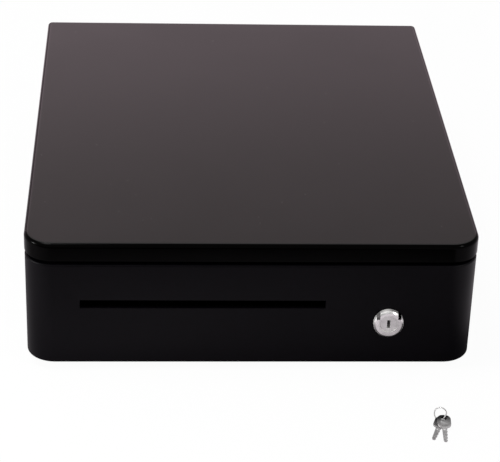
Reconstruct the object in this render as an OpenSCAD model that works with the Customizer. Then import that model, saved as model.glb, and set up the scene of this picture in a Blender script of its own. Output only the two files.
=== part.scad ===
// Cash drawer: steel housing, rolling drawer with a till, cam lock and solenoid latch.
// Frame: origin on the floor midway between the feet, +X right, +Y to the back, +Z up.

/* [Housing] */
// Overall width
body_w = 340; // [330:1:360]
// Depth from the front lip to the back
body_d = 416; // [410:1:430]
// Height of the top above the floor
body_h = 110; // [110:1:120]
// Plan radius of the two front corners
corner_r = 22; // [16:1:24]
// Depth of the cover's rim
lip_h = 14.5; // [12:0.5:16]
// Radius along the cover's top edge
edge_r = 3.4; // [2:0.1:3.6]
// Wall of the cover
cover_t = 1.5; // [1.2:0.1:1.8]
// Steel sheet of pan, drawer and rails
sheet = 1.2; // [1:0.1:1.4]
// Height of the feet under the pan
foot_h = 7; // [7:0.5:8]
// Half spacing of the feet across
foot_x = 140; // [120:1:145]
// Half spacing of the feet front to back
foot_y = 160; // [140:1:165]
// Radius of the fixing hole through each foot
fix_r = 2.5; // [2:0.1:3]

/* [Drawer] */
// How far the drawer rolls out
travel = 290; // [200:5:290]
// Depth of the drawer's front, front to back
front_depth = 29.5; // [28:0.5:31]
// Shadow gap between cover and front
front_gap = 3; // [2:0.5:4]
// Wall of the front
front_t = 3; // [2.5:0.1:3.5]
// Length of the media slot
slot_w = 184; // [160:1:190]
// Height of the media slot
slot_h = 6.6; // [5:0.1:7]
// Slot centre across
slot_x = -36.5; // [-40:0.5:-30]
// Slot centre above the floor
slot_z = 58.6; // [55:0.1:60]

/* [Rolling gear] */
// Radius of the nylon rollers
roller_r = 8; // [7:0.5:8]
// Width of the rollers
roller_w = 7; // [6:0.5:7]
// Radius of the roller pins
pin_r = 2; // [1.8:0.1:2.2]
// Rolling face of the rail above the floor
rail_z = 35; // [32:0.5:38]

/* [Lock] */
// Lock centre across
lock_x = 103.6; // [100:0.1:107]
// Lock centre above the floor
lock_z = 43.8; // [41:0.1:45]
// Radius of the lock's bezel
bezel_r = 11.3; // [11:0.1:12]
// How far the bezel stands out
bezel_h = 4.6; // [4.2:0.1:5]
// Radius of the turning plug
plug_r = 6.4; // [6:0.1:6.8]

/* [Till] */
// Wall of the till
till_t = 2.2; // [1.8:0.1:2.6]
// Length of the coin row
coin_len = 105; // [95:1:110]
// Number of coin cups
coin_n = 5; // [4:1:6]
// Number of note compartments
note_n = 4; // [4:1:4]
// Depth of the till
till_h = 46; // [42:1:46]

/* [Latch] */
// Lever pivot across
pivot_x = 45; // [44:0.5:46]
// Lever pivot above the floor
pivot_z = 52; // [51:0.5:53]
// Solenoid axis across
coil_x = 76; // [75:0.5:77]

/* [Hidden] */
$fn = 48;
front_y = -body_d / 2;
back_y = body_d / 2;
slack = 0.2;
thin = 0.05;
air = 0.3;
play = 0.4;
cut = 1;
rim_u = 4;
lip_z = body_h - lip_h;
under_z = body_h - cover_t;

// Pan and back sheet
pan_x = body_w / 2 - cover_t - slack;
pan_in = pan_x - sheet;
pan_back = back_y - cover_t - slack;
pan_top = under_z - (edge_r - cover_t) - slack;
floor_z = foot_h + sheet;
panel_back = front_y + front_depth;
pan_front = panel_back + play;
wall_in = pan_back - sheet;
pan_flange = 10;
corner_relief = 2.5;

// Drawer front
face_gap = 0.2;
face_y = front_y + face_gap;
face_w = body_w - 2 * face_gap;
face_in = face_y + front_t;
face_top = lip_z - front_gap;
face_edge = 1.5;
boss_r = 5;
boss_x = 140;
boss_low = 26;
boss_high = 79;
front_screw_r = 1.9;
front_screw_len = 14;

// Drawer box
box_x = 150;
box_lift = 2.8;
box_z = floor_z + box_lift;
box_in = box_x - sheet;
box_floor = box_z + sheet;
box_top = 88;
bay_d = 40;
box_back = back_y - bay_d;
box_wall = 164;
slot_ease = 0.8;
chute_t = 1.6;

// Rails, runners and rollers
web_in = pan_in - sheet;
flange_x = 153.5;
rail_front = -176;
rail_back = 196;
rail_open = 20.5;
front_axle_y = -164;
rear_axle_y = 152;
front_axle_z = rail_z + roller_r + cut;
rear_axle_z = rail_z + roller_r + air;
runner_z = front_axle_z + roller_r + air;
runner_drop = 2;
runner_x = 163.5;
runner_front = -176;
runner_back = 164;
roller_chamfer = 0.8;
front_roller_x = 156;
rear_roller_x = 154.2;
axle_head_r = 3.4;
axle_head_t = 1;
stop_h = 4;
stop_t = 1.5;
stop_y = rear_axle_y - travel - roller_r;
rivet_r = 2;
rivet_head_r = 3.4;
rivet_head_t = 0.8;
rivet_z = rail_z + rail_open / 2;
rivet_y = [-120, 20, 160];

// Cover screws, countersunk flush with the rim
csk_r = 3.6;
csk_shank = 1.8;
csk_len = 6;
csk_z = 101;
csk_y = [-140, 150];
csk_x = [-120, 120];

// Feet
foot_r = 10;
foot_neck = 5.8;
foot_lip = 7.4;
foot_lip_h = 1.6;
foot_ease = 1;

// Lock
barrel_r = 9.4;
barrel_len = 38;
plug_face = 0.6;
bezel_flat = 9.9;
bezel_low = 3.2;
notch_in = 6.8;
notch_w = 2.6;
notch_low = 4.4;
notch_left = 1.6;
notch_right = 4.2;
nut_r = 13.4;
nut_t = 4;
key_w = 2.2;
key_h = 6.8;
key_deep = 24;
tail_w = 6;
cam_t = 2;
cam_hub = 9;
cam_w = 14;
cam_len = lock_z - foot_h - play;
cam_tip = 4;
cam_screw_r = 2;
cam_head_r = 4;
cam_head_t = 2.6;
cam_y = face_y + barrel_len + air;
cam_back = cam_y + cam_t;
cam_screw_len = 8;
cam_room = 1.5;
cam_slot_y0 = cam_y - cam_room;
cam_slot_y1 = cam_back + cam_room;
cam_slot_left = 10;
box_slot_right = 32;
pan_slot_right = 20;

// Till, dividers and cups
till_x = box_in - play;
till_in = till_x - till_t;
till_rim = 2;
till_top = box_top + till_rim;
till_z = till_top - till_h;
till_floor = till_z + till_t;
till_front = -160;
till_back = 165;
coin_back = till_front + till_t + coin_len;
note_front = coin_back + till_t;
note_back = till_back - till_t;
divider_t = 2;
divider_h = 38;
groove = 1;
note_pitch = (2 * till_in + divider_t) / note_n;
cup_pitch = 2 * till_in / coin_n;
cup_gap = 0.3;
cup_h = 40;
cup_t = 1.8;
cup_r = 30;

// Note clips
clip_back = 12.8;
clip_drop = 8;
clip_y = note_back - clip_back;
clip_z = till_top - clip_drop;
clip_pin_r = 2;
clip_hub_r = 4.5;
clip_hub_w = 12;
clip_arm = 63;
clip_arm_w = 11;
clip_arm_t = 2;
clip_foot_r = 2.5;
clip_rest = 31;
clip_heel = 12.6;
clip_heel_w = 8;
clip_heel_up = 20;
ear_w = 3.6;
ear_y0 = -10;
ear_y1 = -7.5;
ear_top = 2.8;
lug_t = 3;
lug_left = 12.6;
lug_right = 20.4;
lug_front = 5.5;
lug_down = 12;
lug_low = 2;
pin_out = 0.5;

// Latch, solenoid and switch
lever_t = 3;
lever_y = 182.7;
lever_half = 4;
lever_boss = 7;
lever_tail = 89;
hook_left = -6;
hook_right = 4;
hook_drop = 9;
hook_z = pivot_z - hook_drop;
tab_left = 8;
tab_right = 14;
tab_z = 16;
release_r = 5;
pivot_r = 2.5;
pivot_shoulder = 4.5;
pivot_cap_r = 4;
pivot_cap_t = 1;
plate_y = 194;
plate_t = 1.5;
plate_left = 30;
plate_right = 104;
plate_top = 96;
plate_foot = 9;
bracket_screw_x = [38, 96];
bracket_screw_y = 200;
bracket_screw_r = 2;
bracket_head_r = 3.4;
bracket_head_t = 1.8;
coil_y = lever_y + lever_t / 2;
coil_bottom = 10;
coil_top = 36;
coil_plate = 1.5;
coil_half = 10;
coil_front = 9;
bobbin_in = 5.25;
bobbin_out = 6.2;
bobbin_flange = 8.1;
bobbin_flange_t = 1;
wind_r = 7.8;
plunger_r = 5;
plunger_hole = 5.4;
plunger_low = 19;
plunger_top = 59;
fork_z = 45.5;
fork_gap = 0.2;
link_r = 1.25;
link_slot = 1.2;
link_in = 0.6;
striker_left = -10;
striker_shelf = 2;
striker_bite = 7;
striker_ramp = 8;
striker_drop = 14;
striker_z = hook_z - cut - striker_shelf;
striker_front = lever_y + lever_t + air;
striker_top = hook_z + striker_bite;
striker_back = striker_front + striker_ramp;
striker_tip = 2;
striker_plate_low = striker_z - striker_drop;
switch_left = 27;
switch_right = 47;
switch_front = 181;
switch_up = 8;
switch_z = pivot_z + switch_up;
switch_h = 10;
button_x = 37;
button_r = 1.5;
button_gap = 0.3;
button_deep = 1;
button_room = 4;
hook_post_z = 87;
hook_post_r = 1.5;
tail_hole = 4;
tail_hole_r = 1;
tension_x = lever_tail - tail_hole;

// Ejectors
eject_x = 126;
eject_z = 46;
post_r = 5;
post_base_r = 11;
post_base_t = 2;
post_len = 18;
eject_mean = 7.4;
eject_wire = 0.8;
eject_turns = 8;

// Socket on the back and its lead
jack_x = -30;
jack_z = 24;
jack_w = 16;
jack_h = 14;
jack_len = 17;
jack_lip = 1.4;
jack_hole_w = 10;
jack_hole_h = 7;
jack_hole_len = 12;
jack_key_w = 4;
jack_key_h = 2.4;
lead_r = 1.6;
lead_end = coil_x - wind_r - play;
lead_points = [
    [jack_x, pan_back - jack_len - play, jack_z],
    [jack_x, 185, jack_z],
    [jack_x + 4, 180, jack_z - 4],
    [jack_x + 14, 177.6, 14.5],
    [jack_x + 30, 176.6, 12.6],
    [jack_x + 60, 176.6, 12.4],
    [46, 178, 13.6],
    [56, 182.4, 17],
    [62, coil_y, 19.6],
    [lead_end, coil_y, 20.4]
];

// Keys
key_t = 1.2;
head_w = 10;
head_front = 7.2;
head_back = 6.2;
head_corner = 4.2;
eye_r = 2.1;
eye_off = 2.9;
blade_w = 4.4;
tip_w = 2.8;
blade_len = 21.5;
bit_n = 4;
bit_pitch = 3.2;
bit_deep = 0.6;
bit_w = 1.6;
left_key = [137.53, -279.86];
left_turn = -22;
left_lift = 1.27;
left_tilt = 3.11;
right_key = [139.39, -281.26];
right_turn = -3.5;
right_lift = 3.23;
right_tilt = 8.31;
loop_half_w = 3.89;
loop_half_l = 7.31;
loop_turn = 8.96;
loop_wire = 0.45;
loop_centre = [138.09, -270.9];
loop_low = 0.55;
loop_high = 6.08;
loop_rise = 0.19;

// Plain colours
coat = [0.13, 0.13, 0.14];
zinc = [0.68, 0.69, 0.70];
nickel = [0.80, 0.80, 0.79];
plastic = [0.10, 0.10, 0.11];
grey_plastic = [0.32, 0.33, 0.35];
nylon = [0.90, 0.89, 0.85];
rubber = [0.08, 0.08, 0.08];
copper = [0.72, 0.42, 0.22];
spring_steel = [0.55, 0.56, 0.58];

// Helpers

// A block between two opposite corners
module block(a, b) {
    translate(a) cube(b - a);
}

// A cylinder along X, Y or Z from a start point
module rod_x(p, r, len) {
    translate(p) rotate([0, 90, 0]) cylinder(r = r, h = len);
}

module rod_y(p, r, len) {
    translate(p) rotate([-90, 0, 0]) cylinder(r = r, h = len);
}

module rod_z(p, r, len) {
    translate(p) cylinder(r = r, h = len);
}

// The same form on the left and on the right
module both_sides() {
    children();
    mirror([1, 0, 0]) children();
}

// A flat profile in X and Z, given a thickness towards +Y
module plate_xz(y, t) {
    translate([0, y + t, 0]) rotate([90, 0, 0]) linear_extrude(t) children();
}

// A flat profile in Y and Z, given a width towards +X
module plate_yz(x, w) {
    translate([x, 0, 0]) rotate([90, 0, 90]) linear_extrude(w) children();
}

// A rim profile run straight along its side, facing +X
module rim_run(len) {
    translate([0, len / 2, 0]) rotate([90, 0, 0]) linear_extrude(len) children();
}

// A rim profile turned through a quarter
module rim_corner(r) {
    rotate_extrude(angle = 90) translate([r, 0]) children();
}

// A rim profile carried round the front and both sides
module rim_three(w, y0, y1, r) {
    side = y1 - y0 - r;
    translate([0, y0, 0]) rotate([0, 0, -90]) rim_run(w - 2 * r) children();
    both_sides() {
        translate([w / 2, y0 + r + side / 2, 0]) rim_run(side) children();
        translate([w / 2 - r, y0 + r, 0]) rotate([0, 0, -90]) rim_corner(r) children();
    }
}

// The flat inside such a rim, with its round front corners
module rim_plate(w, y0, y1, r, z, t) {
    block([-w / 2, y0 + r, z], [w / 2, y1, z + t]);
    block([r - w / 2, y0, z], [w / 2 - r, y0 + r, z + t]);
    both_sides()
        translate([w / 2 - r, y0 + r, z]) rotate([0, 0, -90])
            rotate_extrude(angle = 90) square([r, t]);
}

// A quarter of a disc in one quadrant
module quarter(r, sx, sy) {
    intersection() {
        circle(r);
        translate([min(0, sx * r), min(0, sy * r)]) square(r);
    }
}

// Vectors for swept wires
function unit(v) = v / norm(v);
function flat(rows) = [for (row = rows) each row];
function along(p, i, loop) =
    let (n = len(p))
    loop ? unit(p[(i + 1) % n] - p[(i + n - 1) % n])
         : unit(p[min(i + 1, n - 1)] - p[max(i - 1, 0)]);

// A direction square to the wire at each point, carried on from the one before
function square_to(v, t) = unit(v - (v * t) * t);
function carried(p, axis) = [
    for (i = 0, a = square_to(axis, along(p, 0, false)); i < len(p); i = i + 1,
        a = i < len(p) ? square_to(a, along(p, i, false)) : a) a
];

// A round wire through a list of points; a closed loop takes its direction from the axis
module wire(p, r, sides, axis, loop = false) {
    n = len(p);
    step = 360 / sides;
    square = loop ? [for (i = [0 : n - 1]) square_to(axis, along(p, i, true))] : carried(p, axis);
    rings = [
        for (i = [0 : n - 1])
            let (a = square[i], b = cross(a, along(p, i, loop)))
            [for (k = [0 : sides - 1]) p[i] + r * (cos(step * k) * a + sin(step * k) * b)]
    ];
    spans = loop ? n : n - 1;
    skin = [
        for (i = [0 : spans - 1])
            for (k = [0 : sides - 1])
                let (j = (i + 1) % n, m = (k + 1) % sides)
                each [
                    [i * sides + k, j * sides + k, i * sides + m],
                    [i * sides + m, j * sides + k, j * sides + m]
                ]
    ];
    first = [for (k = [1 : sides - 2]) [0, k, k + 1]];
    last_ring = (n - 1) * sides;
    last = [for (k = [1 : sides - 2]) [last_ring, last_ring + k + 1, last_ring + k]];
    polyhedron(points = flat(rings), faces = loop ? skin : concat(skin, first, last));
}

// Points of a coil about +Z, rising from z0 to z1
coil_steps = 8;
function coil(r, turns, z0, z1) = [
    for (i = [0 : turns * coil_steps])
        let (a = 360 * i / coil_steps, f = i / (turns * coil_steps))
        [r * cos(a), r * sin(a), z0 + (z1 - z0) * f]
];

// Least clear distance between points of a wire at least half a curl apart
function wire_gap(p, r) = min([
    for (i = [0 : len(p) - 1 - coil_steps / 2])
        for (j = [i + coil_steps / 2 : len(p) - 1])
            norm(p[i] - p[j]) - 2 * r
]);

// A smooth curve through hand-set points
curve_steps = 5;
function curve_at(a, b, c, d, t) =
    0.5 * (2 * b + (c - a) * t + (2 * a - 5 * b + 4 * c - d) * t * t
    + (3 * b - a - 3 * c + d) * t * t * t);
function curve(p) =
    let (n = len(p))
    [for (i = [0 : n - 2])
        for (k = [0 : curve_steps - (i == n - 2 ? 0 : 1)])
            curve_at(p[max(i - 1, 0)], p[i], p[i + 1], p[min(i + 2, n - 1)], k / curve_steps)];

// Housing

module base_pan() {
    color(coat)
    difference() {
        union() {
            block([-pan_x, pan_front, foot_h], [pan_x, pan_back, floor_z]);
            both_sides() {
                block([pan_in, pan_front, floor_z], [pan_x, pan_back, pan_top]);
                block([pan_in - pan_flange, pan_front, pan_top - sheet],
                    [pan_in, pan_back - corner_relief, pan_top]);
            }
        }
        for (sx = [-1, 1])
            for (sy = [-1, 1])
                rod_z([sx * foot_x, sy * foot_y, foot_h - cut], foot_neck + thin, sheet + 2 * cut);
        rod_z([(tab_left + tab_right) / 2, coil_y, foot_h - cut], release_r, sheet + 2 * cut);
        block([lock_x - cam_slot_left, cam_slot_y0, foot_h - cut],
            [lock_x + pan_slot_right, cam_slot_y1, floor_z + cut]);
        for (x = bracket_screw_x)
            rod_z([x, bracket_screw_y, foot_h - cut], bracket_screw_r + thin, sheet + 2 * cut);
        both_sides() {
            block([pan_in - sheet, pan_back - corner_relief, lip_z - slack],
                [pan_x + cut, pan_back + cut, pan_top + cut]);
            for (y = rivet_y)
                rod_x([pan_in - cut, y, rivet_z], rivet_r + thin, sheet + 2 * cut);
            for (y = csk_y)
                rod_x([pan_in - cut, y, csk_z], csk_shank + thin, sheet + 2 * cut);
        }
    }
}

module rear_panel() {
    color(coat)
    difference() {
        union() {
            block([-pan_in, wall_in, floor_z], [pan_in, pan_back, pan_top]);
            both_sides()
                block([pan_in - sheet, wall_in - sheet - pan_flange / 2, floor_z],
                    [pan_in, wall_in, pan_top - 2 * sheet]);
        }
        block([jack_x - jack_w / 2, wall_in - cut, jack_z - jack_h / 2],
            [jack_x + jack_w / 2, pan_back + cut, jack_z + jack_h / 2]);
        both_sides()
            block([pan_in - sheet, wall_in - slack, lip_z - slack],
                [pan_x, pan_back + cut, pan_top + cut]);
        for (x = csk_x)
            rod_y([x, wall_in - cut, csk_z], csk_shank + thin, sheet + 2 * cut);
    }
}

// The cover's rim in section: wall, rounded edge and the start of the top
module cover_section() {
    translate([-cover_t, lip_z]) square([cover_t, lip_h - edge_r]);
    translate([-rim_u, under_z]) square([rim_u - edge_r, cover_t]);
    translate([-edge_r, body_h - edge_r])
    difference() {
        quarter(edge_r, 1, 1);
        circle(edge_r - cover_t);
    }
}

// A countersunk hole or screw head pointing along +X, its rim at x = 0
module csk_head(ease) {
    rotate([0, -90, 0])
        cylinder(r1 = csk_r + ease, r2 = csk_shank + ease, h = cover_t);
}

module top_cover() {
    run = body_w - 2 * rim_u;
    color(coat)
    difference() {
        union() {
            rim_three(body_w, front_y, back_y - rim_u, corner_r) cover_section();
            translate([0, back_y, 0]) rotate([0, 0, 90]) rim_run(run) cover_section();
            both_sides()
                translate([body_w / 2 - rim_u, back_y - rim_u, 0])
                    rim_corner(rim_u) cover_section();
            rim_plate(run, front_y + rim_u, back_y - rim_u, corner_r - rim_u, under_z, cover_t);
        }
        both_sides()
            for (y = csk_y)
                translate([body_w / 2, y, csk_z]) csk_head(thin);
        for (x = csk_x)
            translate([x, back_y, csk_z]) rotate([0, 0, 90]) csk_head(thin);
    }
}

// One countersunk cover screw pointing along +X
module cover_screw() {
    csk_head(0);
    rod_x([-csk_len, 0, 0], csk_shank, csk_len - cover_t / 2);
}

module cover_screws() {
    color(zinc) {
        both_sides()
            for (y = csk_y)
                translate([body_w / 2, y, csk_z]) cover_screw();
        for (x = csk_x)
            translate([x, back_y, csk_z]) rotate([0, 0, 90]) cover_screw();
    }
}

// The right-hand rail: an open channel with a stop for the rear roller
module rail() {
    color(zinc)
    difference() {
        union() {
            block([web_in, rail_front, rail_z - sheet], [pan_in, rail_back, rail_z + rail_open + sheet]);
            block([flange_x, rail_front, rail_z - sheet], [web_in, rail_back, rail_z]);
            block([flange_x, rail_front, rail_z + rail_open],
                [web_in, rail_back, rail_z + rail_open + sheet]);
            block([flange_x, stop_y - stop_t, rail_z], [web_in, stop_y, rail_z + stop_h]);
        }
        rod_x([web_in - cut, front_axle_y, front_axle_z], pin_r + thin, sheet + 2 * cut);
        for (y = rivet_y)
            rod_x([web_in - cut, y, rivet_z], rivet_r + thin, sheet + 2 * cut);
    }
}

module right_rail() {
    rail();
}

module left_rail() {
    mirror([1, 0, 0]) rail();
}

module rail_rivets() {
    color(zinc)
    both_sides()
        for (y = rivet_y) {
            rod_x([web_in - rivet_head_t, y, rivet_z], rivet_head_r, rivet_head_t);
            rod_x([web_in - rivet_head_t / 2, y, rivet_z], rivet_r, 2 * sheet + rivet_head_t);
            rod_x([pan_x, y, rivet_z], rivet_head_r, rivet_head_t);
        }
}

module front_roller_pins() {
    inner = front_roller_x - play;
    collar = front_roller_x + roller_w + play;
    color(zinc)
    both_sides() {
        rod_x([inner - axle_head_t, front_axle_y, front_axle_z], axle_head_r, axle_head_t);
        rod_x([inner - axle_head_t / 2, front_axle_y, front_axle_z], pin_r,
            pan_in - inner + axle_head_t / 2 - thin);
        rod_x([collar, front_axle_y, front_axle_z], axle_head_r, web_in - collar);
    }
}

// A roller lying along +X from x = 0, with eased rims and a running bore
module roller() {
    c = roller_chamfer;
    bore = pin_r + thin;
    color(nylon)
    rotate([0, 90, 0])
    rotate_extrude()
        polygon([[bore, 0], [roller_r - c, 0], [roller_r, c], [roller_r, roller_w - c],
            [roller_r - c, roller_w], [bore, roller_w]]);
}

module front_roller_right() {
    translate([front_roller_x, front_axle_y, front_axle_z]) roller();
}

module front_roller_left() {
    mirror([1, 0, 0]) front_roller_right();
}

module rear_roller_right() {
    translate([rear_roller_x, rear_axle_y, rear_axle_z]) roller();
}

module rear_roller_left() {
    mirror([1, 0, 0]) rear_roller_right();
}

// Push-in feet with a fixing hole down the middle
module feet() {
    color(rubber)
    for (sx = [-1, 1])
        for (sy = [-1, 1])
            translate([sx * foot_x, sy * foot_y, 0])
            rotate_extrude()
                polygon([[fix_r, 0], [foot_r - foot_ease, 0], [foot_r, foot_ease], [foot_r, foot_h],
                    [foot_neck, foot_h], [foot_neck, floor_z], [foot_lip, floor_z],
                    [foot_neck, floor_z + foot_lip_h], [fix_r, floor_z + foot_lip_h]]);
}

module latch_bracket() {
    color(zinc)
    difference() {
        union() {
            block([plate_left, plate_y, floor_z], [plate_right, plate_y + plate_t, plate_top]);
            block([plate_left, plate_y + plate_t, floor_z],
                [plate_right, plate_y + plate_t + plate_foot, floor_z + plate_t]);
            rod_y([tension_x, lever_y, hook_post_z], hook_post_r, plate_y - lever_y + plate_t / 2);
        }
        rod_y([pivot_x, plate_y - cut, pivot_z], pivot_r + thin, plate_t + 2 * cut);
        for (x = bracket_screw_x)
            rod_z([x, bracket_screw_y, floor_z - cut], bracket_screw_r + thin, plate_t + 2 * cut);
    }
}

module bracket_screws() {
    shank = plate_t + sheet + bracket_head_t / 2;
    color(zinc)
    for (x = bracket_screw_x) {
        rod_z([x, bracket_screw_y, floor_z + plate_t], bracket_head_r, bracket_head_t);
        rod_z([x, bracket_screw_y, foot_h], bracket_screw_r, shank);
    }
}

module latch_pin() {
    low = lever_y - air - pivot_cap_t;
    shoulder = lever_y + lever_t + air;
    shank = plate_y + plate_t - low - pivot_cap_t / 2;
    color(zinc) {
        rod_y([pivot_x, low, pivot_z], pivot_cap_r, pivot_cap_t);
        rod_y([pivot_x, low + pivot_cap_t / 2, pivot_z], pivot_r, shank);
        rod_y([pivot_x, shoulder, pivot_z], pivot_shoulder, plate_y - shoulder);
    }
}

module solenoid_frame() {
    y0 = coil_y - coil_front;
    color(zinc)
    difference() {
        block([coil_x - coil_half, y0, coil_bottom], [coil_x + coil_half, plate_y, coil_top]);
        block([coil_x - coil_half - cut, y0 - cut, coil_bottom + coil_plate],
            [coil_x + coil_half + cut, plate_y - coil_plate, coil_top - coil_plate]);
        rod_z([coil_x, coil_y, coil_top - 2 * coil_plate], plunger_hole, 3 * coil_plate);
    }
}

module solenoid_bobbin() {
    low = coil_bottom + coil_plate;
    high = coil_top - coil_plate;
    f = bobbin_flange_t;
    color(nylon)
    translate([coil_x, coil_y, 0])
    rotate_extrude()
        polygon([[bobbin_in, low], [bobbin_flange, low], [bobbin_flange, low + f],
            [bobbin_out, low + f], [bobbin_out, high - f], [bobbin_flange, high - f],
            [bobbin_flange, high], [bobbin_in, high]]);
}

module solenoid_winding() {
    low = coil_bottom + coil_plate + bobbin_flange_t;
    high = coil_top - coil_plate - bobbin_flange_t;
    color(copper)
    translate([coil_x, coil_y, 0])
    rotate_extrude()
        translate([bobbin_out, low]) square([wind_r - bobbin_out, high - low]);
}

tension_mean = 2.6;
tension_wire = 0.4;
tension_turns = 12;
tension_low = pivot_z + 12;
tension_high = hook_post_z - 8;
tension_side = 2.8;
tension_end = 3;
tension_loop = 2.4;
tension_step = 30;
tension_points = concat(
    [
        [0, -tension_end, pivot_z],
        [0, 1.4, pivot_z],
        [0, 2.4, pivot_z + 0.4],
        [0, tension_side, pivot_z + 1.4],
        [0, tension_side, pivot_z + 6],
        [0.5, tension_side - 0.2, tension_low - 3.4],
        [1.4, 1.4, tension_low - 1.8],
        [2.3, -0.6, tension_low - 0.9]
    ],
    coil(tension_mean, tension_turns, tension_low, tension_high),
    [for (a = [0 : tension_step : 210])
        [tension_loop * cos(a), 0, hook_post_z + tension_loop * sin(a)]]
);

module latch_spring() {
    color(spring_steel)
    translate([tension_x, coil_y, 0]) wire(tension_points, tension_wire, 6, [1, 0, 0]);
}

module switch_body() {
    color(plastic)
    difference() {
        block([switch_left, switch_front, switch_z], [switch_right, plate_y, switch_z + switch_h]);
        rod_z([button_x, coil_y, switch_z - cut], button_r + slack, button_room + cut);
    }
}

module switch_button() {
    low = pivot_z + lever_half + button_gap;
    color([0.75, 0.12, 0.10]) rod_z([button_x, coil_y, low], button_r, switch_z + button_deep - low);
}

// Socket for the control cable, open to the back
module cable_socket() {
    half = jack_hole_w / 2;
    deep = pan_back - jack_hole_len;
    color(plastic)
    difference() {
        union() {
            block([jack_x - jack_w / 2 + thin, pan_back - jack_len, jack_z - jack_h / 2 + thin],
                [jack_x + jack_w / 2 - thin, pan_back, jack_z + jack_h / 2 - thin]);
            block([jack_x - jack_w / 2 - jack_lip, wall_in - jack_lip, jack_z - jack_h / 2 - jack_lip],
                [jack_x + jack_w / 2 + jack_lip, wall_in, jack_z + jack_h / 2 + jack_lip]);
        }
        block([jack_x - half, deep, jack_z - jack_hole_h / 2],
            [jack_x + half, pan_back + cut, jack_z + jack_hole_h / 2]);
        block([jack_x - jack_key_w / 2, deep, jack_z - jack_hole_h / 2 - jack_key_h],
            [jack_x + jack_key_w / 2, pan_back + cut, jack_z]);
    }
}

module solenoid_lead() {
    color([0.16, 0.16, 0.17]) wire(curve(lead_points), lead_r, 8, [0.01, 0.02, 1]);
}

module ejector_posts() {
    color(nylon)
    both_sides() {
        rod_y([eject_x, wall_in - post_base_t, eject_z], post_base_r, post_base_t);
        rod_y([eject_x, wall_in - post_len, eject_z], post_r, post_len - post_base_t / 2);
    }
}

eject_length = wall_in - post_base_t - box_back - 2 * eject_wire - 0.6;
eject_points = coil(eject_mean, eject_turns, 0, eject_length);

module ejector_spring_right() {
    color(spring_steel)
    translate([eject_x, box_back + eject_wire + 0.3, eject_z]) rotate([-90, 0, 0])
        wire(eject_points, eject_wire, 6, [0, 0, 1]);
}

module ejector_spring_left() {
    translate([-2 * eject_x, 0, 0]) ejector_spring_right();
}

// Drawer

// The front's edge in section: wall, eased outer edges and the start of both flanges
module front_section() {
    e = face_edge;
    low = foot_h;
    high = face_top;
    translate([-e, low + e]) square([e, high - low - 2 * e]);
    translate([-front_t, low]) square([front_t - e, high - low]);
    translate([-rim_u, high - front_t]) square([rim_u - front_t, front_t]);
    translate([-rim_u, low]) square([rim_u - front_t, front_t]);
    translate([-e, high - e]) quarter(e, 1, 1);
    translate([-e, low + e]) quarter(e, 1, -1);
}

module drawer_front() {
    inside = face_w - 2 * rim_u;
    r = corner_r - rim_u;
    color(coat)
    difference() {
        union() {
            rim_three(face_w, face_y, panel_back, corner_r) front_section();
            for (z = [foot_h, face_top - front_t])
                rim_plate(inside, face_y + rim_u, panel_back, r, z, front_t);
            for (sx = [-1, 1])
                for (z = [boss_low, boss_high])
                    rod_y([sx * boss_x, face_in - front_t / 2, z], boss_r,
                        panel_back - sheet - face_in + front_t / 2);
        }
        block([slot_x - slot_w / 2, face_y - cut, slot_z - slot_h / 2],
            [slot_x + slot_w / 2, face_in + cut, slot_z + slot_h / 2]);
        rod_y([lock_x, face_y - cut, lock_z], barrel_r + thin, front_t + 2 * cut);
        for (sx = [-1, 1])
            for (z = [boss_low, boss_high])
                rod_y([sx * boss_x, panel_back - front_screw_len - cut, z], front_screw_r + thin,
                    front_screw_len + 2 * cut);
    }
}

module front_screws() {
    color(zinc)
    for (sx = [-1, 1])
        for (z = [boss_low, boss_high]) {
            rod_y([sx * boss_x, panel_back, z], bracket_head_r, bracket_head_t);
            rod_y([sx * boss_x, panel_back - front_screw_len, z], front_screw_r,
                front_screw_len + bracket_head_t / 2);
        }
}

module drawer_box() {
    y0 = panel_back - sheet;
    color(zinc)
    difference() {
        union() {
            block([-box_wall, y0, box_z], [box_wall, panel_back, box_top]);
            block([-box_x, panel_back, box_z], [box_x, box_back, box_floor]);
            block([-box_in, box_back - sheet, box_floor], [box_in, box_back, box_top]);
            both_sides()
                block([box_in, panel_back, box_floor], [box_x, box_back, box_top]);
        }
        block([slot_x - slot_w / 2, y0 - cut, slot_z - slot_h / 2 - slot_ease],
            [slot_x + slot_w / 2, panel_back + cut, slot_z + slot_h / 2]);
        rod_y([lock_x, y0 - cut, lock_z], barrel_r + thin, sheet + 2 * cut);
        block([lock_x - cam_slot_left, cam_slot_y0, box_z - cut],
            [lock_x + box_slot_right, cam_slot_y1, box_floor + cut]);
        for (sx = [-1, 1])
            for (z = [boss_low, boss_high])
                rod_y([sx * boss_x, y0 - cut, z], front_screw_r + thin, sheet + 2 * cut);
    }
}

// The right-hand runner: a strip on the drawer's side with a ledge that rides the front roller
module runner() {
    color(zinc)
    difference() {
        union() {
            block([box_x, runner_front, rail_z - runner_drop],
                [box_x + sheet, runner_back, runner_z + sheet]);
            block([box_x + sheet, runner_front, runner_z], [runner_x, runner_back, runner_z + sheet]);
        }
        rod_x([box_x - cut, rear_axle_y, rear_axle_z], pin_r + thin, sheet + 2 * cut);
    }
}

module right_runner() {
    runner();
}

module left_runner() {
    mirror([1, 0, 0]) runner();
}

module rear_roller_pins() {
    outer = rear_roller_x + roller_w + play;
    collar = box_x + sheet;
    color(zinc)
    both_sides() {
        rod_x([outer, rear_axle_y, rear_axle_z], axle_head_r, axle_head_t);
        rod_x([box_x + thin, rear_axle_y, rear_axle_z], pin_r, outer - box_x);
        rod_x([collar, rear_axle_y, rear_axle_z], axle_head_r, rear_roller_x - play - collar);
    }
}

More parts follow.
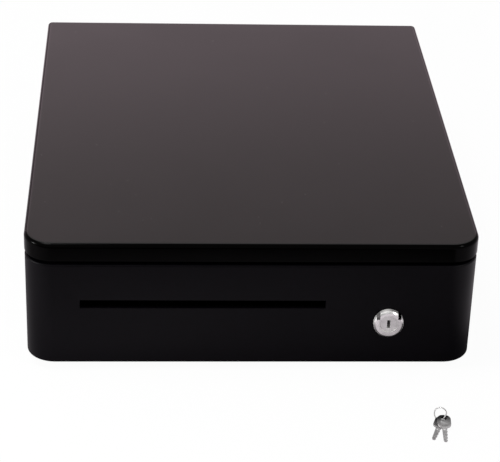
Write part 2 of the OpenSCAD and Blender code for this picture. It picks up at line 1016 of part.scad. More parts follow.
// A flat sleeve that leads papers from the slot into the drawer
module media_chute() {
    y1 = panel_back - sheet;
    color(plastic)
    difference() {
        block([slot_x - slot_w / 2 - chute_t, face_in, slot_z - slot_h / 2 - chute_t - slot_ease],
            [slot_x + slot_w / 2 + chute_t, y1, slot_z + slot_h / 2 + chute_t]);
        plate_yz(slot_x - slot_w / 2, slot_w)
            polygon([[face_in - cut, slot_z - slot_h / 2], [face_in + cut, slot_z - slot_h / 2],
                [y1 + cut, slot_z - slot_h / 2 - slot_ease], [y1 + cut, slot_z + slot_h / 2],
                [face_in - cut, slot_z + slot_h / 2]]);
    }
}

// A turned form about the lock's axis; heights run out of the front, towards -Y
module at_lock() {
    translate([lock_x, face_y, lock_z]) rotate([90, 0, 0]) children();
}

module lock_body() {
    color(nickel)
    difference() {
        at_lock()
        rotate_extrude()
            polygon([[plug_r + thin, -barrel_len], [barrel_r, -barrel_len], [barrel_r, 0],
                [bezel_r, 0], [bezel_r, bezel_low], [bezel_flat, bezel_h],
                [plug_r + 2 * plug_face, bezel_h], [plug_r + plug_face, bezel_h - plug_face],
                [plug_r + thin, bezel_h - plug_face]]);
        for (n = [[-1, notch_left], [1, notch_right]])
            translate([lock_x + n[0] * (notch_in + notch_w / 2), face_y - bezel_h, lock_z + notch_low])
                translate([-notch_w / 2, -cut, 0]) cube([notch_w, n[1] + cut, bezel_r]);
    }
}

module lock_nut() {
    color(zinc)
    difference() {
        translate([lock_x, face_in, lock_z]) rotate([-90, 0, 0]) cylinder(r = nut_r, h = nut_t, $fn = 6);
        rod_y([lock_x, face_in - cut, lock_z], barrel_r + thin, nut_t + 2 * cut);
    }
}

module lock_plug() {
    face = face_y - bezel_h + plug_face;
    neck = cam_y - air;
    color(nickel)
    difference() {
        union() {
            rod_y([lock_x, face, lock_z], plug_r, neck - face);
            block([lock_x - tail_w / 2, neck, lock_z - tail_w / 2],
                [lock_x + tail_w / 2, cam_back, lock_z + tail_w / 2]);
        }
        block([lock_x - key_w / 2, face - cut, lock_z - key_h / 2],
            [lock_x + key_w / 2, face + key_deep, lock_z + key_h / 2]);
        rod_y([lock_x, cam_back - cam_screw_len, lock_z], cam_screw_r + thin, cam_screw_len + cut);
    }
}

// The cam at rest points to +X, clear of the slots in both floors
module lock_cam() {
    hole = tail_w / 2 + thin;
    half = cam_w / 2;
    color(zinc)
    translate([lock_x, 0, lock_z])
    plate_xz(cam_y, cam_t)
    difference() {
        union() {
            circle(cam_hub);
            polygon([[0, -half], [cam_len - cam_tip, -half], [cam_len, -cam_tip], [cam_len, cam_tip],
                [cam_len - cam_tip, half], [0, half]]);
        }
        square(2 * hole, center = true);
    }
}

module cam_screw() {
    color(zinc) {
        rod_y([lock_x, cam_back, lock_z], cam_head_r, cam_head_t);
        rod_y([lock_x, cam_back + cut - cam_screw_len, lock_z], cam_screw_r, cam_screw_len);
    }
}

// A shelf on the drawer's back whose sloped lip catches the lever
module latch_striker() {
    color(zinc)
    plate_yz(striker_left, hook_right - striker_left)
    polygon([[box_back, striker_plate_low], [box_back + striker_shelf, striker_plate_low],
        [box_back + striker_shelf, striker_z], [striker_back, striker_z],
        [striker_back, striker_z + striker_shelf], [striker_front + striker_tip, striker_top],
        [striker_front, striker_top], [striker_front, striker_z + striker_shelf],
        [box_back, striker_z + striker_shelf]]);
}

function note_centre(i) = (i - (note_n - 1) / 2) * note_pitch;

module till_tray() {
    color(plastic)
    difference() {
        union() {
            difference() {
                block([-till_x, till_front, till_z], [till_x, till_back, till_top]);
                block([-till_in, till_front + till_t, till_floor], [till_in, coin_back, till_top + cut]);
                block([-till_in, note_front, till_floor], [till_in, note_back, till_top + cut]);
            }
            both_sides()
                block([till_x, till_front, box_top], [box_x, till_back, till_top]);
            for (i = [0 : note_n - 1])
                for (x = [-lug_left - lug_t, lug_right])
                    block([note_centre(i) + x, clip_y - lug_front, clip_z - lug_down],
                        [note_centre(i) + x + lug_t, note_back, till_top - lug_low]);
        }
        for (i = [0 : note_n - 1])
            rod_x([note_centre(i) - lug_left - lug_t - cut, clip_y, clip_z], clip_pin_r + thin,
                lug_left + lug_right + 2 * lug_t + 2 * cut);
        for (i = [1 : note_n - 1])
            divider_slot((note_centre(i) + note_centre(i - 1)) / 2);
    }
}

// The grooves that hold one divider at both ends
module divider_slot(x) {
    half = divider_t / 2 + slack;
    block([x - half, note_front - groove, till_floor],
        [x + half, note_front + cut, till_floor + divider_h + 2 * cut]);
    block([x - half, note_back - cut, till_floor],
        [x + half, note_back + groove, till_floor + divider_h + 2 * cut]);
}

module divider(i) {
    x = (note_centre(i) + note_centre(i - 1)) / 2;
    end = groove - slack;
    color(grey_plastic)
    block([x - divider_t / 2, note_front - end, till_floor],
        [x + divider_t / 2, note_back + end, till_floor + divider_h]);
}

module divider_left() {
    divider(1);
}

module divider_middle() {
    divider(2);
}

module divider_right() {
    divider(3);
}

// The hollow of a coin cup in Y and Z, with scooped ends
module cup_hollow(len) {
    translate([0, cup_r]) square([len, cup_h]);
    translate([cup_r, 0]) square([len - 2 * cup_r, cup_r]);
    translate([cup_r, cup_r]) quarter(cup_r, -1, -1);
    translate([len - cup_r, cup_r]) quarter(cup_r, 1, -1);
}

module coin_cups() {
    w = cup_pitch - 2 * cup_gap;
    len = coin_len - 2 * cup_gap;
    y0 = till_front + till_t + cup_gap;
    color(grey_plastic)
    for (i = [0 : coin_n - 1]) {
        x0 = -till_in + i * cup_pitch + cup_gap;
        difference() {
            block([x0, y0, till_floor], [x0 + w, y0 + len, till_floor + cup_h]);
            translate([0, y0 + cup_t, till_floor + cup_t])
                plate_yz(x0 + cup_t, w - 2 * cup_t) cup_hollow(len - 2 * cup_t);
        }
    }
}

module clip_pins() {
    color(zinc)
    for (i = [0 : note_n - 1])
        rod_x([note_centre(i) - lug_left - lug_t - pin_out, clip_y, clip_z], clip_pin_r,
            lug_left + lug_right + 2 * lug_t + 2 * pin_out);
}

// A note clip about its pin: hub, arm forward and down, rounded foot, and a heel that stops it
module note_clip(i) {
    color(plastic)
    translate([note_centre(i), clip_y, clip_z])
    rotate([clip_rest, 0, 0])
    difference() {
        union() {
            rod_x([-clip_hub_w, 0, 0], clip_hub_r, 2 * clip_hub_w);
            block([-clip_arm_w, -clip_arm, -clip_arm_t / 2], [clip_arm_w, 0, clip_arm_t / 2]);
            rod_x([-clip_arm_w, -clip_arm, 0], clip_foot_r, 2 * clip_arm_w);
            block([clip_arm_w - cut, ear_y0, -clip_arm_t / 2], [clip_arm_w + ear_w, ear_y1, ear_top]);
            rotate([clip_heel_up, 0, 0])
                block([-clip_heel_w, 0, -clip_arm_t / 2], [clip_heel_w, clip_heel, clip_arm_t / 2]);
        }
        rod_x([-clip_hub_w - cut, 0, 0], clip_pin_r + thin, 2 * clip_hub_w + 2 * cut);
    }
}

module note_clip_1() {
    note_clip(0);
}

module note_clip_2() {
    note_clip(1);
}

module note_clip_3() {
    note_clip(2);
}

module note_clip_4() {
    note_clip(3);
}

torsion_mean = 3.4;
torsion_wire = 0.5;
torsion_turns = 4.25;
torsion_low = clip_hub_w + 1.2;
torsion_high = lug_right - 1;
torsion_leg = 11;
torsion_out = 16;
torsion_coil = coil(torsion_mean, torsion_turns, torsion_low, torsion_high);
torsion_points = concat(
    [[torsion_mean, -torsion_leg, torsion_low], [torsion_mean, -torsion_mean, torsion_low]],
    torsion_coil,
    [[-torsion_mean, torsion_mean, torsion_high], [-torsion_out, torsion_mean, torsion_high]]
);

// One torsion spring beside each clip: a leg on the clip's ear, a leg by the till's back wall
module clip_springs() {
    color(spring_steel)
    for (i = [0 : note_n - 1])
        translate([note_centre(i), clip_y, clip_z])
        rotate([clip_rest - 90, 0, 0])
        rotate([90, 0, 90])
        mirror([1, 0, 0])
            wire(torsion_points, torsion_wire, 6, [0, 0, 1]);
}

// Latch

module latch_lever() {
    link = coil_x;
    color(zinc)
    difference() {
        plate_xz(lever_y, lever_t)
        difference() {
            union() {
                polygon([[hook_left, hook_z], [hook_right, hook_z], [hook_right, pivot_z - lever_half],
                    [tab_left, pivot_z - lever_half], [tab_left, tab_z], [tab_right, tab_z],
                    [tab_right, pivot_z - lever_half], [lever_tail, pivot_z - lever_half],
                    [lever_tail, pivot_z + lever_half], [hook_left, pivot_z + lever_half]]);
                translate([pivot_x, pivot_z]) circle(lever_boss);
            }
            translate([link, pivot_z])
                square([2 * (link_r + link_slot), 2 * (link_r + slack)], center = true);
        }
        rod_y([pivot_x, lever_y - cut, pivot_z], pivot_r + thin, lever_t + 2 * cut);
        rod_y([tension_x, lever_y - cut, pivot_z], tail_hole_r, lever_t + 2 * cut);
    }
}

module solenoid_plunger() {
    half = lever_t / 2 + fork_gap;
    color(zinc)
    difference() {
        rod_z([coil_x, coil_y, plunger_low], plunger_r, plunger_top - plunger_low);
        block([coil_x - 2 * plunger_r, coil_y - half, fork_z],
            [coil_x + 2 * plunger_r, coil_y + half, plunger_top + cut]);
        rod_y([coil_x, coil_y - 2 * plunger_r, pivot_z], link_r + thin, 4 * plunger_r);
    }
}

module link_pin() {
    color(zinc) rod_y([coil_x, coil_y - plunger_r + link_in, pivot_z], link_r, 2 * (plunger_r - link_in));
}

// Keys

// Half width of the blade at a distance from the origin towards its tip
function blade_half(reach) = blade_w / 2 + (tip_w - blade_w) / 2 * reach / blade_len;

// One key lying flat, its head about the origin and its blade along -Y
module key_form() {
    linear_extrude(key_t)
    difference() {
        union() {
            translate([-head_w / 2, head_corner - head_front])
                square([head_w, head_front + head_back - 2 * head_corner]);
            translate([head_corner - head_w / 2, -head_front])
                square([head_w - 2 * head_corner, head_front + head_back]);
            for (sx = [-1, 1])
                for (y = [head_corner - head_front, head_back - head_corner])
                    translate([sx * (head_w / 2 - head_corner), y]) circle(head_corner);
            polygon([[-blade_w / 2, 0], [-tip_w / 2, -blade_len],
                [tip_w / 2, -blade_len], [blade_w / 2, 0]]);
        }
        translate([0, eye_off]) circle(eye_r);
        for (k = [0 : bit_n - 1])
            let (reach = blade_len - bit_w - k * bit_pitch)
            translate([blade_half(reach) - bit_deep, -reach]) square([blade_w, bit_w]);
    }
}

// A key set down at a point, turned in plan and tipped so that its blade leans to the floor
module key_at(p, turn, tilt, lift) {
    color(spring_steel)
    translate([p[0], p[1], lift]) rotate([0, 0, turn]) rotate([tilt, 0, 0]) key_form();
}

module key_left() {
    key_at(left_key, left_turn, left_tilt, left_lift);
}

module key_right() {
    key_at(right_key, right_turn, right_tilt, right_lift);
}

// A long wire loop that climbs through both eyes and comes back down behind
loop_steps = 60;
function loop_z(u) =
    let (w = u < loop_rise ? 0.5 * u / loop_rise : 0.5 + 0.5 * (u - loop_rise) / (1 - loop_rise))
    loop_low + (loop_high - loop_low) * (0.5 - 0.5 * cos(360 * w));
loop_points = [
    for (i = [0 : loop_steps - 1])
        let (u = i / loop_steps, a = 270 + 360 * (u - loop_rise / 2))
        let (across = loop_half_w * cos(a), along = loop_half_l * sin(a))
        [loop_centre[0] + across * cos(loop_turn) - along * sin(loop_turn),
            loop_centre[1] + across * sin(loop_turn) + along * cos(loop_turn), loop_z(u)]
];

module key_ring() {
    color(nickel) wire(loop_points, loop_wire, 8, [0, 0, 1], true);
}

// Least clear gap of each wound wire to itself, over 0.4
echo(ejector_gap = wire_gap(eject_points, eject_wire));
echo(latch_spring_gap = wire_gap(tension_points, tension_wire));
echo(clip_spring_gap = wire_gap(torsion_coil, torsion_wire));

base_pan();
rear_panel();
top_cover();
cover_screws();
left_rail();
right_rail();
rail_rivets();
front_roller_pins();
feet();
latch_bracket();
bracket_screws();
latch_pin();
solenoid_frame();
solenoid_bobbin();
solenoid_winding();
latch_spring();
switch_body();
cable_socket();
solenoid_lead();
ejector_posts();
ejector_spring_left();
ejector_spring_right();
front_roller_left();
front_roller_right();
rear_roller_left();
rear_roller_right();
drawer_front();
front_screws();
drawer_box();
left_runner();
right_runner();
rear_roller_pins();
media_chute();
lock_body();
lock_nut();
latch_striker();
till_tray();
divider_left();
divider_middle();
divider_right();
coin_cups();
clip_pins();
clip_springs();
lock_plug();
lock_cam();
cam_screw();
latch_lever();
solenoid_plunger();
link_pin();
switch_button();
note_clip_1();
note_clip_2();
note_clip_3();
note_clip_4();
key_ring();
key_left();
key_right();
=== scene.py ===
import math
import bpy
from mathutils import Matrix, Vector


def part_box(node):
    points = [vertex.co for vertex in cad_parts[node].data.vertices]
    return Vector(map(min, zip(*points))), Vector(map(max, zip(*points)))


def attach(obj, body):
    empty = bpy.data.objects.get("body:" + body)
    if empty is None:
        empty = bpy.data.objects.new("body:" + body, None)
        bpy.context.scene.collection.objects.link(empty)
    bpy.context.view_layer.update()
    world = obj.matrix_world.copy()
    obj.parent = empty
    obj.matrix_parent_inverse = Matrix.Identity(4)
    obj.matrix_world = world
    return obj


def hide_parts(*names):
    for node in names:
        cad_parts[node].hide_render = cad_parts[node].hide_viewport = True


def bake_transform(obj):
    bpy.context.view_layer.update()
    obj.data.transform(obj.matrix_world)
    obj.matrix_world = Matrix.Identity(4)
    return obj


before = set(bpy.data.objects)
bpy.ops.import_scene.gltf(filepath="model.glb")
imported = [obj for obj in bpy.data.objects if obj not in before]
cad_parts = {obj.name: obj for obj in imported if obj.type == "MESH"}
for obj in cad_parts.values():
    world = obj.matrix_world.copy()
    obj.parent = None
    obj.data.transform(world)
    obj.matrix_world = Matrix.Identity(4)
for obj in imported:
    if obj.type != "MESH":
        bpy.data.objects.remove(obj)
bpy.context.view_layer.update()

from types import SimpleNamespace

import bmesh
import bpy
import numpy as np
from bpy.props import FloatProperty, FloatVectorProperty, PointerProperty
from mathutils import Matrix, Vector

bl_info = {
    "name": "Cash Drawer",
    "version": (1, 0, 0),
    "blender": (4, 5, 0),
    "location": "View3D > Sidebar > Cash Drawer",
    "description": "Finished pieces, materials and a plain stage for a cash drawer",
    "category": "Add Mesh",
}

MM = 0.001
MERGE_DISTANCE = 2e-7
UP = (0.0, 0.0, 1.0)
WHITE = (1.0, 1.0, 1.0, 1.0)

# Local axes for turned pieces: where a piece's own x, y and z point
OUT_FRONT = np.array([(1, 0, 0), (0, 0, 1), (0, -1, 0)], float)
OUT_BACK = np.array([(-1, 0, 0), (0, 0, 1), (0, 1, 0)], float)
OUT_RIGHT = np.array([(0, 1, 0), (0, 0, 1), (1, 0, 0)], float)
OUT_LEFT = np.array([(0, -1, 0), (0, 0, 1), (-1, 0, 0)], float)
OUT_TOP = np.eye(3)
ALONG_BACK = np.array([(1, 0, 0), (0, 0, -1), (0, 1, 0)], float)

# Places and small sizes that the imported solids' boxes do not give, in millimetres and degrees

# Screws, seats of the cover's screws, the front's bosses, which stop short of its back edge, and thin walls
COVER_SCREW_X, COVER_SCREW_Y, COVER_SCREW_Z = (-120.0, 120.0), (-140.0, 150.0), 101.0
SEAT_R, SEAT_HOLE_R, SEAT_DEEP = 3.72, 1.7, 2.0
FRONT_SCREWS = [(x, z) for x in (-140, 140) for z in (26, 79)]
BRACKET_SCREW_X, BRACKET_SCREW_Y = (38.0, 96.0), 200.0
PAN_HEAD_R, PAN_HEAD_H, PAN_DOME, CAM_HEAD_H = 3.4, 1.8, 0.45, 2.6
BOSS_R, BOSS_SHORT = 5, 1.4
BOX_SHEET, CHUTE_WALL = 1.2, 1.6

# Lock: room round plug and barrel, the barrel's end and thread, the bezel's notches with the depth of the
# left and the right one, the keyhole, and the plug's square tail
PLAY, OVERLAP = 0.05, 0.2
BARREL_CHAMFER, THREAD_PITCH, THREAD_DEEP, THREAD_END, THREAD_NECK = 0.6, 1.0, 0.32, 9.0, 8.6
NOTCH_IN, NOTCH_W, NOTCH_LOW, NOTCH_DEEP = 6.8, 2.6, 4.4, {-1: 1.6, 1: 4.2}
KEYHOLE_DEEP, KEYHOLE_LIP = 24, 0.45
TAIL_HALF, TAIL_LEN = 3, 2.3

# Keys: each key's middle, turn in plan and tilt, then the head about its middle, and the cuts along the blade
KEY_PLACES = {"key_left": (137.53, -279.86, 1.27, -22.0, 3.11),
              "key_right": (139.39, -281.26, 3.23, -3.5, 8.31)}
KEY_HEAD = {"eye": 2.9, "eye_r": 2.1, "half": 5.0, "front": 7.2, "back": 6.2, "corner": 4.2}
BLADE_ROOT, CUT_COUNT, CUT_FIRST, CUT_PITCH, CUT_DEEP = -6.6, 4, 2.4, 3.2, 0.6

# Loop that holds the keys: its middle, turn in plan, size, lowest and highest place, and the share that rises
LOOP_MIDDLE, LOOP_TURN = (138.09, -270.9, 0.0), 8.96
LOOP_HALF_W, LOOP_HALF_L, LOOP_WIRE_R = 3.89, 7.31, 0.45
LOOP_LOW, LOOP_HIGH, LOOP_RISE = 0.55, 6.08, 0.19

# Springs: where the latch spring stands, and where the note clips' pins lie and how far their springs lean
LATCH_SPRING_X, LATCH_SPRING_Y, LATCH_TAIL_Z, LATCH_POST_Z = 85.0, 184.2, 52.0, 87.0
CLIP_COUNT, CLIP_PITCH, CLIP_PIN_Y, CLIP_PIN_Z, CLIP_LEAN = 4, 73.6, 150.0, 82.0, 59

# Wires' sides, the solenoid's wire and bore, and the lead from the socket to it
WIRE_SIDES, LEAD_SIDES = 14, 16
WINDING_WIRE, WINDING_BORE_R = 0.5, 6.2
LEAD_R = 1.6
LEAD_POINTS = [(-30, 188.9, 24), (-30, 185, 24), (-26, 180, 20), (-16, 177.6, 14.5), (0, 176.6, 12.6),
               (30, 176.6, 12.4), (46, 178, 13.6), (56, 182.4, 17), (62, 184.2, 19.6), (67.8, 184.2, 20.4)]

# Coin cups
CUP_COUNT, CUP_GAP = 5, 0.6

# Stage, in metres: the floor's reach and bend, the backdrop's top, and where the backdrop's light begins. The
# share of white that the camera sees leaves the rest to the shadow
FLOOR_HALF, BEND_Y, BEND_R, WALL_TOP, WALL_FROM = 4.0, 3.0, 0.8, 3.5, 0.3
WHITE_SHARE = 0.96

# Light that gloss finds there, as ramps: level at the start and the end of a stretch, then where those lie
LOW_TO_MIDDLE = (0.0, 1.0, 1.686, 1.995)
MIDDLE_TO_HIGH = (0.0, 1.0, 1.995, 2.305)
WALL_ACROSS = (1.05, 0.85, -0.6, 0.6)
# On the floor before the drawer the glow is painted reflection: brighter to the left and at the right, dimmed
# towards the drawer as a painted shadow, and dark beyond a narrow strip
NEAR_ACROSS = (3.5, 0.2, -0.25, 0.22)
NEAR_SHADOW_ALONG = (1.5, 0.19, -0.39, -0.22)
NEAR_FROM = (0.0, 1.0, -0.392, -0.368)
NEAR_RIGHT = (0.0, 1.0, 0.2, 0.235)

# Lamps: place and size, in metres. Camera: place in metres, then yaw, pitch down and roll in degrees
LAMPS = {"key": ((-0.7, -0.2, 2.3), (0.9, 0.7)),
         "fill": ((1.32, -1.09, 1.37), (0.3, 0.3)),
         "side": ((-0.95, -0.36, 0.30), (0.12, 0.12))}
CAMERA_PLACE, CAMERA_TURNS, SENSOR_WIDTH = (-0.0799, -1.4142, 0.7979), (3.629, 29.217, 2.004), 36.0


def box_mm(node):
    """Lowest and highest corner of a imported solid, in millimetres."""
    lo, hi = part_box(node)
    return np.array(lo) / MM, np.array(hi) / MM


def middle_mm(node):
    """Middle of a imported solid's box, in millimetres."""
    lo, hi = box_mm(node)
    return (lo + hi) / 2


# Settings


def colour(name, value, about):
    """A colour that the user can change."""
    return FloatVectorProperty(
        name=name, description=about, subtype="COLOR", size=3, min=0.0, max=1.0, default=value)


def length(name, value, about):
    """A length that the user can change, given in millimetres."""
    return FloatProperty(
        name=name, description=about, unit="LENGTH", min=0.0, precision=5, default=value * MM)


class DrawerColours(bpy.types.PropertyGroup):
    """Colours of the finishes."""

    cover_top: colour("Cover top", (0.0032, 0.0022, 0.0024), "Satin coat on the cover's top")
    # The rim's colour is a painted shade: the top's coat made darker, and duller in its finish, to stand in
    # for the dark that the rim gives back.
    cover_rim: colour("Cover rim", (0.0003, 0.0002, 0.0002), "Gloss coat on the cover's rim")
    front_skin: colour("Front", (0.0009, 0.0005, 0.0014), "Satin skin of the drawer's front")
    pan_coat: colour("Pan", (0.008, 0.008, 0.0085), "Powder coat of pan and back")
    zinc: colour("Zinc", (0.60, 0.61, 0.62), "Zinc plate on sheet steel")
    spring: colour("Spring wire", (0.42, 0.42, 0.43), "Bare spring wire")
    nickel: colour("Lock", (0.84, 0.83, 0.82), "Nickel plate on the lock")
    key: colour("Keys", (0.51, 0.50, 0.50), "Worn nickel on the keys")
    nylon: colour("Nylon", (0.80, 0.78, 0.72), "Natural nylon")
    rubber: colour("Rubber", (0.018, 0.018, 0.018), "Rubber of the feet")
    black_plastic: colour("Black plastic", (0.012, 0.012, 0.013), "Grained plastic of the till")
    grey_plastic: colour("Grey plastic", (0.075, 0.077, 0.083), "Grained plastic of cups and dividers")
    copper: colour("Winding", (0.62, 0.27, 0.11), "Enamelled copper wire")
    jacket: colour("Lead", (0.025, 0.025, 0.027), "Soft jacket of the lead")
    red: colour("Switch button", (0.45, 0.03, 0.025), "Moulded switch button")


class DrawerSizes(bpy.types.PropertyGroup):
    """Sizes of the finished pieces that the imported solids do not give."""

    edge_r: length("Cover edge", 3.4, "Radius along the cover's top edge")
    cover_t: length("Cover wall", 1.5, "Wall of the cover")
    corner_r: length("Corner", 22, "Plan radius of the front corners")
    back_r: length("Back corner", 4, "Plan radius of the cover's back corners")
    front_t: length("Front wall", 3, "Wall of the drawer's front")
    front_edge: length("Front edge", 1.5, "Radius along the front's edges")
    slot_w: length("Slot length", 184, "Length of the media slot")
    slot_h: length("Slot height", 6.6, "Height of the media slot")
    slot_lip: length("Slot lip", 0.6, "Easing round the slot's mouth")
    bezel_r: length("Bezel", 11.3, "Radius of the lock's bezel")
    bevel: length("Bevel", 1.4, "Bevel round the bezel's face")
    barrel_r: length("Barrel", 9.4, "Radius of the lock's barrel")
    plug_r: length("Plug", 6.4, "Radius of the lock's plug")
    keyhole_w: length("Keyhole width", 2.2, "Width of the keyhole")
    keyhole_h: length("Keyhole height", 6.8, "Height of the keyhole")
    recess: length("Screw recess", 1.3, "Depth of the cross recess in screw heads")
    cup_wall: length("Cup wall", 1.8, "Wall of the coin cups")
    cup_scoop: length("Cup scoop", 30, "Radius of the scooped ends of the coin cups")
    cup_fillet: length("Cup fillet", 8, "Radius along the sides of the coin cups")
    blade_w: length("Blade", 4.4, "Width of a key's blade at its head")
    tip_w: length("Blade tip", 2.8, "Width of a key's blade at its tip")
    blade_len: length("Blade length", 21.5, "Length of a key in front of its middle")
    key_t: length("Key thickness", 1.2, "Thickness of a key")
    key_ease: length("Key easing", 0.16, "Easing along a key's edges")


def number(name, value, about, unit="NONE"):
    """A strength, power or other plain number that the user can change."""
    return FloatProperty(name=name, description=about, unit=unit, min=0.0, default=value)


def sizes_mm():
    """The lengths of the settings, in millimetres."""
    sizes = bpy.context.scene.drawer_sizes
    return SimpleNamespace(**{name: getattr(sizes, name) / MM for name in DrawerSizes.__annotations__})


class StageSettings(bpy.types.PropertyGroup):
    """Floor, lamps and camera."""

    floor: colour("Floor", (0.92, 0.92, 0.92), "Colour of the floor and backdrop")
    low_glow: colour("Low glow", (1.0, 0.80, 0.88), "Light low on the backdrop, for the back of the cover")
    mid_glow: colour("Middle glow", (0.525, 0.470, 0.484), "Light half way up the backdrop")
    high_glow: colour("High glow", (0.395, 0.358, 0.352), "Light high on the backdrop, for the cover's front")
    near_glow: colour("Near glow", (1.0, 0.93, 0.99), "Light of the floor that the drawer's front gives back")
    glow: number("Glow", 0.95, "Strength of the backdrop's light")
    sky: number("Sky", 0.42, "Strength of the plain sky")
    gloss_sky: number("Sky in gloss", 0.5, "Strength of the sky in glossy pieces")
    key_power: number("Key lamp", 26.0, "Wide lamp overhead, a little to the left", "POWER")
    fill_power: number("Fill lamp", 7.0, "Small lamp in front at the upper right", "POWER")
    side_power: number("Side lamp", 4.5, "Small lamp low at the left", "POWER")
    lens: number("Lens", 136.11, "Focal length in millimetres", "CAMERA")


# Surfaces


def grid_faces(rows, cols, wrap_rows=False, wrap_cols=False):
    """Quads of a grid whose points are numbered row by row. A wrapped way joins its last line to its
    first."""
    i = np.arange(rows if wrap_rows else rows - 1)[:, None]
    j = np.arange(cols if wrap_cols else cols - 1)[None]
    below, beside = (i + 1) % rows, (j + 1) % cols
    quads = [i * cols + j, i * cols + beside, below * cols + beside, below * cols + j]
    return np.stack(np.broadcast_arrays(*quads), -1).reshape(-1, 4)


def arc(centre, r, start, end, n):
    """Points on a circle from one angle to another, in degrees."""
    a = np.radians(np.linspace(start, end, n))
    return np.column_stack([centre[0] + r * np.cos(a), centre[1] + r * np.sin(a)])


def outline(w, y0, y1, front_r, back_r, n):
    """A rounded rectangle seen from above and its outward directions: four quarter circles in turn.
    A back corner with no radius is one point that faces sideways."""
    corners = [(front_r - w / 2, y0 + front_r, front_r, 180), (w / 2 - front_r, y0 + front_r, front_r, 270),
               (w / 2 - back_r, y1 - back_r, back_r, 0), (back_r - w / 2, y1 - back_r, back_r, 90)]
    points, facing = [], []
    for x, y, r, start in corners:
        sharp = (0, 0, 1) if x > 0 else (180, 180, 1)
        a = np.radians(np.linspace(*((start, start + 90, n) if r else sharp)))
        way = np.column_stack([np.cos(a), np.sin(a)])
        points.append(np.array([x, y]) + r * way)
        facing.append(way)
    return np.vstack(points), np.vstack(facing)


def lofted(rings, closed=False):
    """Rings of equal count joined in turn. The first and last are closed by flat faces, or joined too."""
    rings = np.asarray(rings, float)
    rows, cols = rings.shape[:2]
    faces = grid_faces(rows, cols, wrap_rows=closed, wrap_cols=True).tolist()
    if not closed:
        faces += [list(range(cols)), list(range((rows - 1) * cols, rows * cols))]
    return rings.reshape(-1, 3), faces


def rim_shell(plan, facing, section):
    """A section carried round an outline: point (i, j) is outline point j moved in by inset i, at height i.
    The first and last rings are closed by flat faces."""
    inset, z = section.T
    xy = plan[None] - inset[:, None, None] * facing[None]
    up = np.broadcast_to(z[:, None, None], (len(section), len(plan), 1))
    return lofted(np.concatenate([xy, up], -1))


def turned(section, n, relief=None, ring=False):
    """A section of radius and height turned about its axis: point (i, k) is (r cos k, r sin k, h), and a
    relief adds to h by place. A ring joins the section's end to its start."""
    r, h = section.T
    a = np.linspace(0, 2 * np.pi, n, endpoint=False)
    x, y = r[:, None] * np.cos(a), r[:, None] * np.sin(a)
    z = np.broadcast_to(h[:, None], x.shape)
    z = z if relief is None else z + relief(x, y)
    faces = grid_faces(len(r), n, wrap_rows=ring, wrap_cols=True).tolist()
    return np.stack([x, y, z], -1).reshape(-1, 3), faces


def placed(shell, origin, axes):
    """A shell whose local points are set at an origin along three axes."""
    verts, faces = shell
    return np.asarray(origin, float) + verts @ axes, faces


def turn_about(axis, degrees):
    """A turn about one axis as a matrix."""
    return np.array(Matrix.Rotation(math.radians(degrees), 3, axis))


def tube(path, r, sides, lean, closed=False):
    """A round wire: ring i lies square to the path at point i, a radius r about it. The ring starts from a
    fixed leaning direction with the path's own direction taken out."""
    path, lean = np.asarray(path, float), np.asarray(lean, float)
    step = np.roll(path, -1, 0) - np.roll(path, 1, 0) if closed else np.gradient(path, axis=0)
    t = step / np.linalg.norm(step, axis=1, keepdims=True)
    a = lean - (t @ lean)[:, None] * t
    a /= np.linalg.norm(a, axis=1, keepdims=True)
    b = np.cross(t, a)
    turn = np.linspace(0, 2 * np.pi, sides, endpoint=False)
    around = np.cos(turn)[None, :, None] * a[:, None] + np.sin(turn)[None, :, None] * b[:, None]
    return lofted(path[:, None] + r * around, closed)


def smooth_path(points, per):
    """A smooth curve through points: each span is a cubic whose slope at a point is half the step across
    it."""
    points = np.asarray(points, float)
    p = np.vstack([points[:1], points, points[-1:]])
    a, b, c, d = (p[k:len(p) - 3 + k, None] for k in range(4))
    t = (np.arange(per) / per)[None, :, None]
    spans = 0.5 * (2 * b + (c - a) * t + (2 * a - 5 * b + 4 * c - d) * t ** 2
                   + (3 * b - a - 3 * c + d) * t ** 3)
    return np.vstack([spans.reshape(-1, points.shape[1]), points[-1:]])


def coil(r, turns, z0, z1, dead=0.0):
    """Points of a coil about its z axis: the angle grows evenly, and so does the height, apart from close
    end turns."""
    points_a_turn = 8
    t = np.arange(int(round(turns * points_a_turn)) + 1) / points_a_turn
    rise = np.interp(t, [0, 1, turns - 1, turns], [0, dead, 1 - dead, 1]) if dead else t / turns
    return np.column_stack([r * np.cos(2 * np.pi * t), r * np.sin(2 * np.pi * t), z0 + (z1 - z0) * rise])


def joined(parts):
    """Several shells as one list of points and one of faces."""
    verts, faces, first = [], [], 0
    for v, f in parts:
        verts.append(v)
        faces += [[int(i) + first for i in face] for face in f]
        first += len(v)
    return np.vstack(verts), faces


def shade(mesh, sharp):
    """Smooth shading, kept crisp along edges over an angle in degrees."""
    mesh.polygons.foreach_set("use_smooth", np.ones(len(mesh.polygons), bool))
    mesh.set_sharp_from_angle(angle=math.radians(sharp))
    mesh.update()


def new_mesh(name, shell):
    """A closed mesh from points in millimetres, its poles merged and its faces turned outwards."""
    verts, faces = shell
    mesh = bpy.data.meshes.new(name)
    mesh.from_pydata((verts * MM).tolist(), [], faces)
    work = bmesh.new()
    work.from_mesh(mesh)
    bmesh.ops.remove_doubles(work, verts=work.verts, dist=MERGE_DISTANCE)
    bmesh.ops.recalc_face_normals(work, faces=work.faces)
    work.to_mesh(mesh)
    work.free()
    return mesh


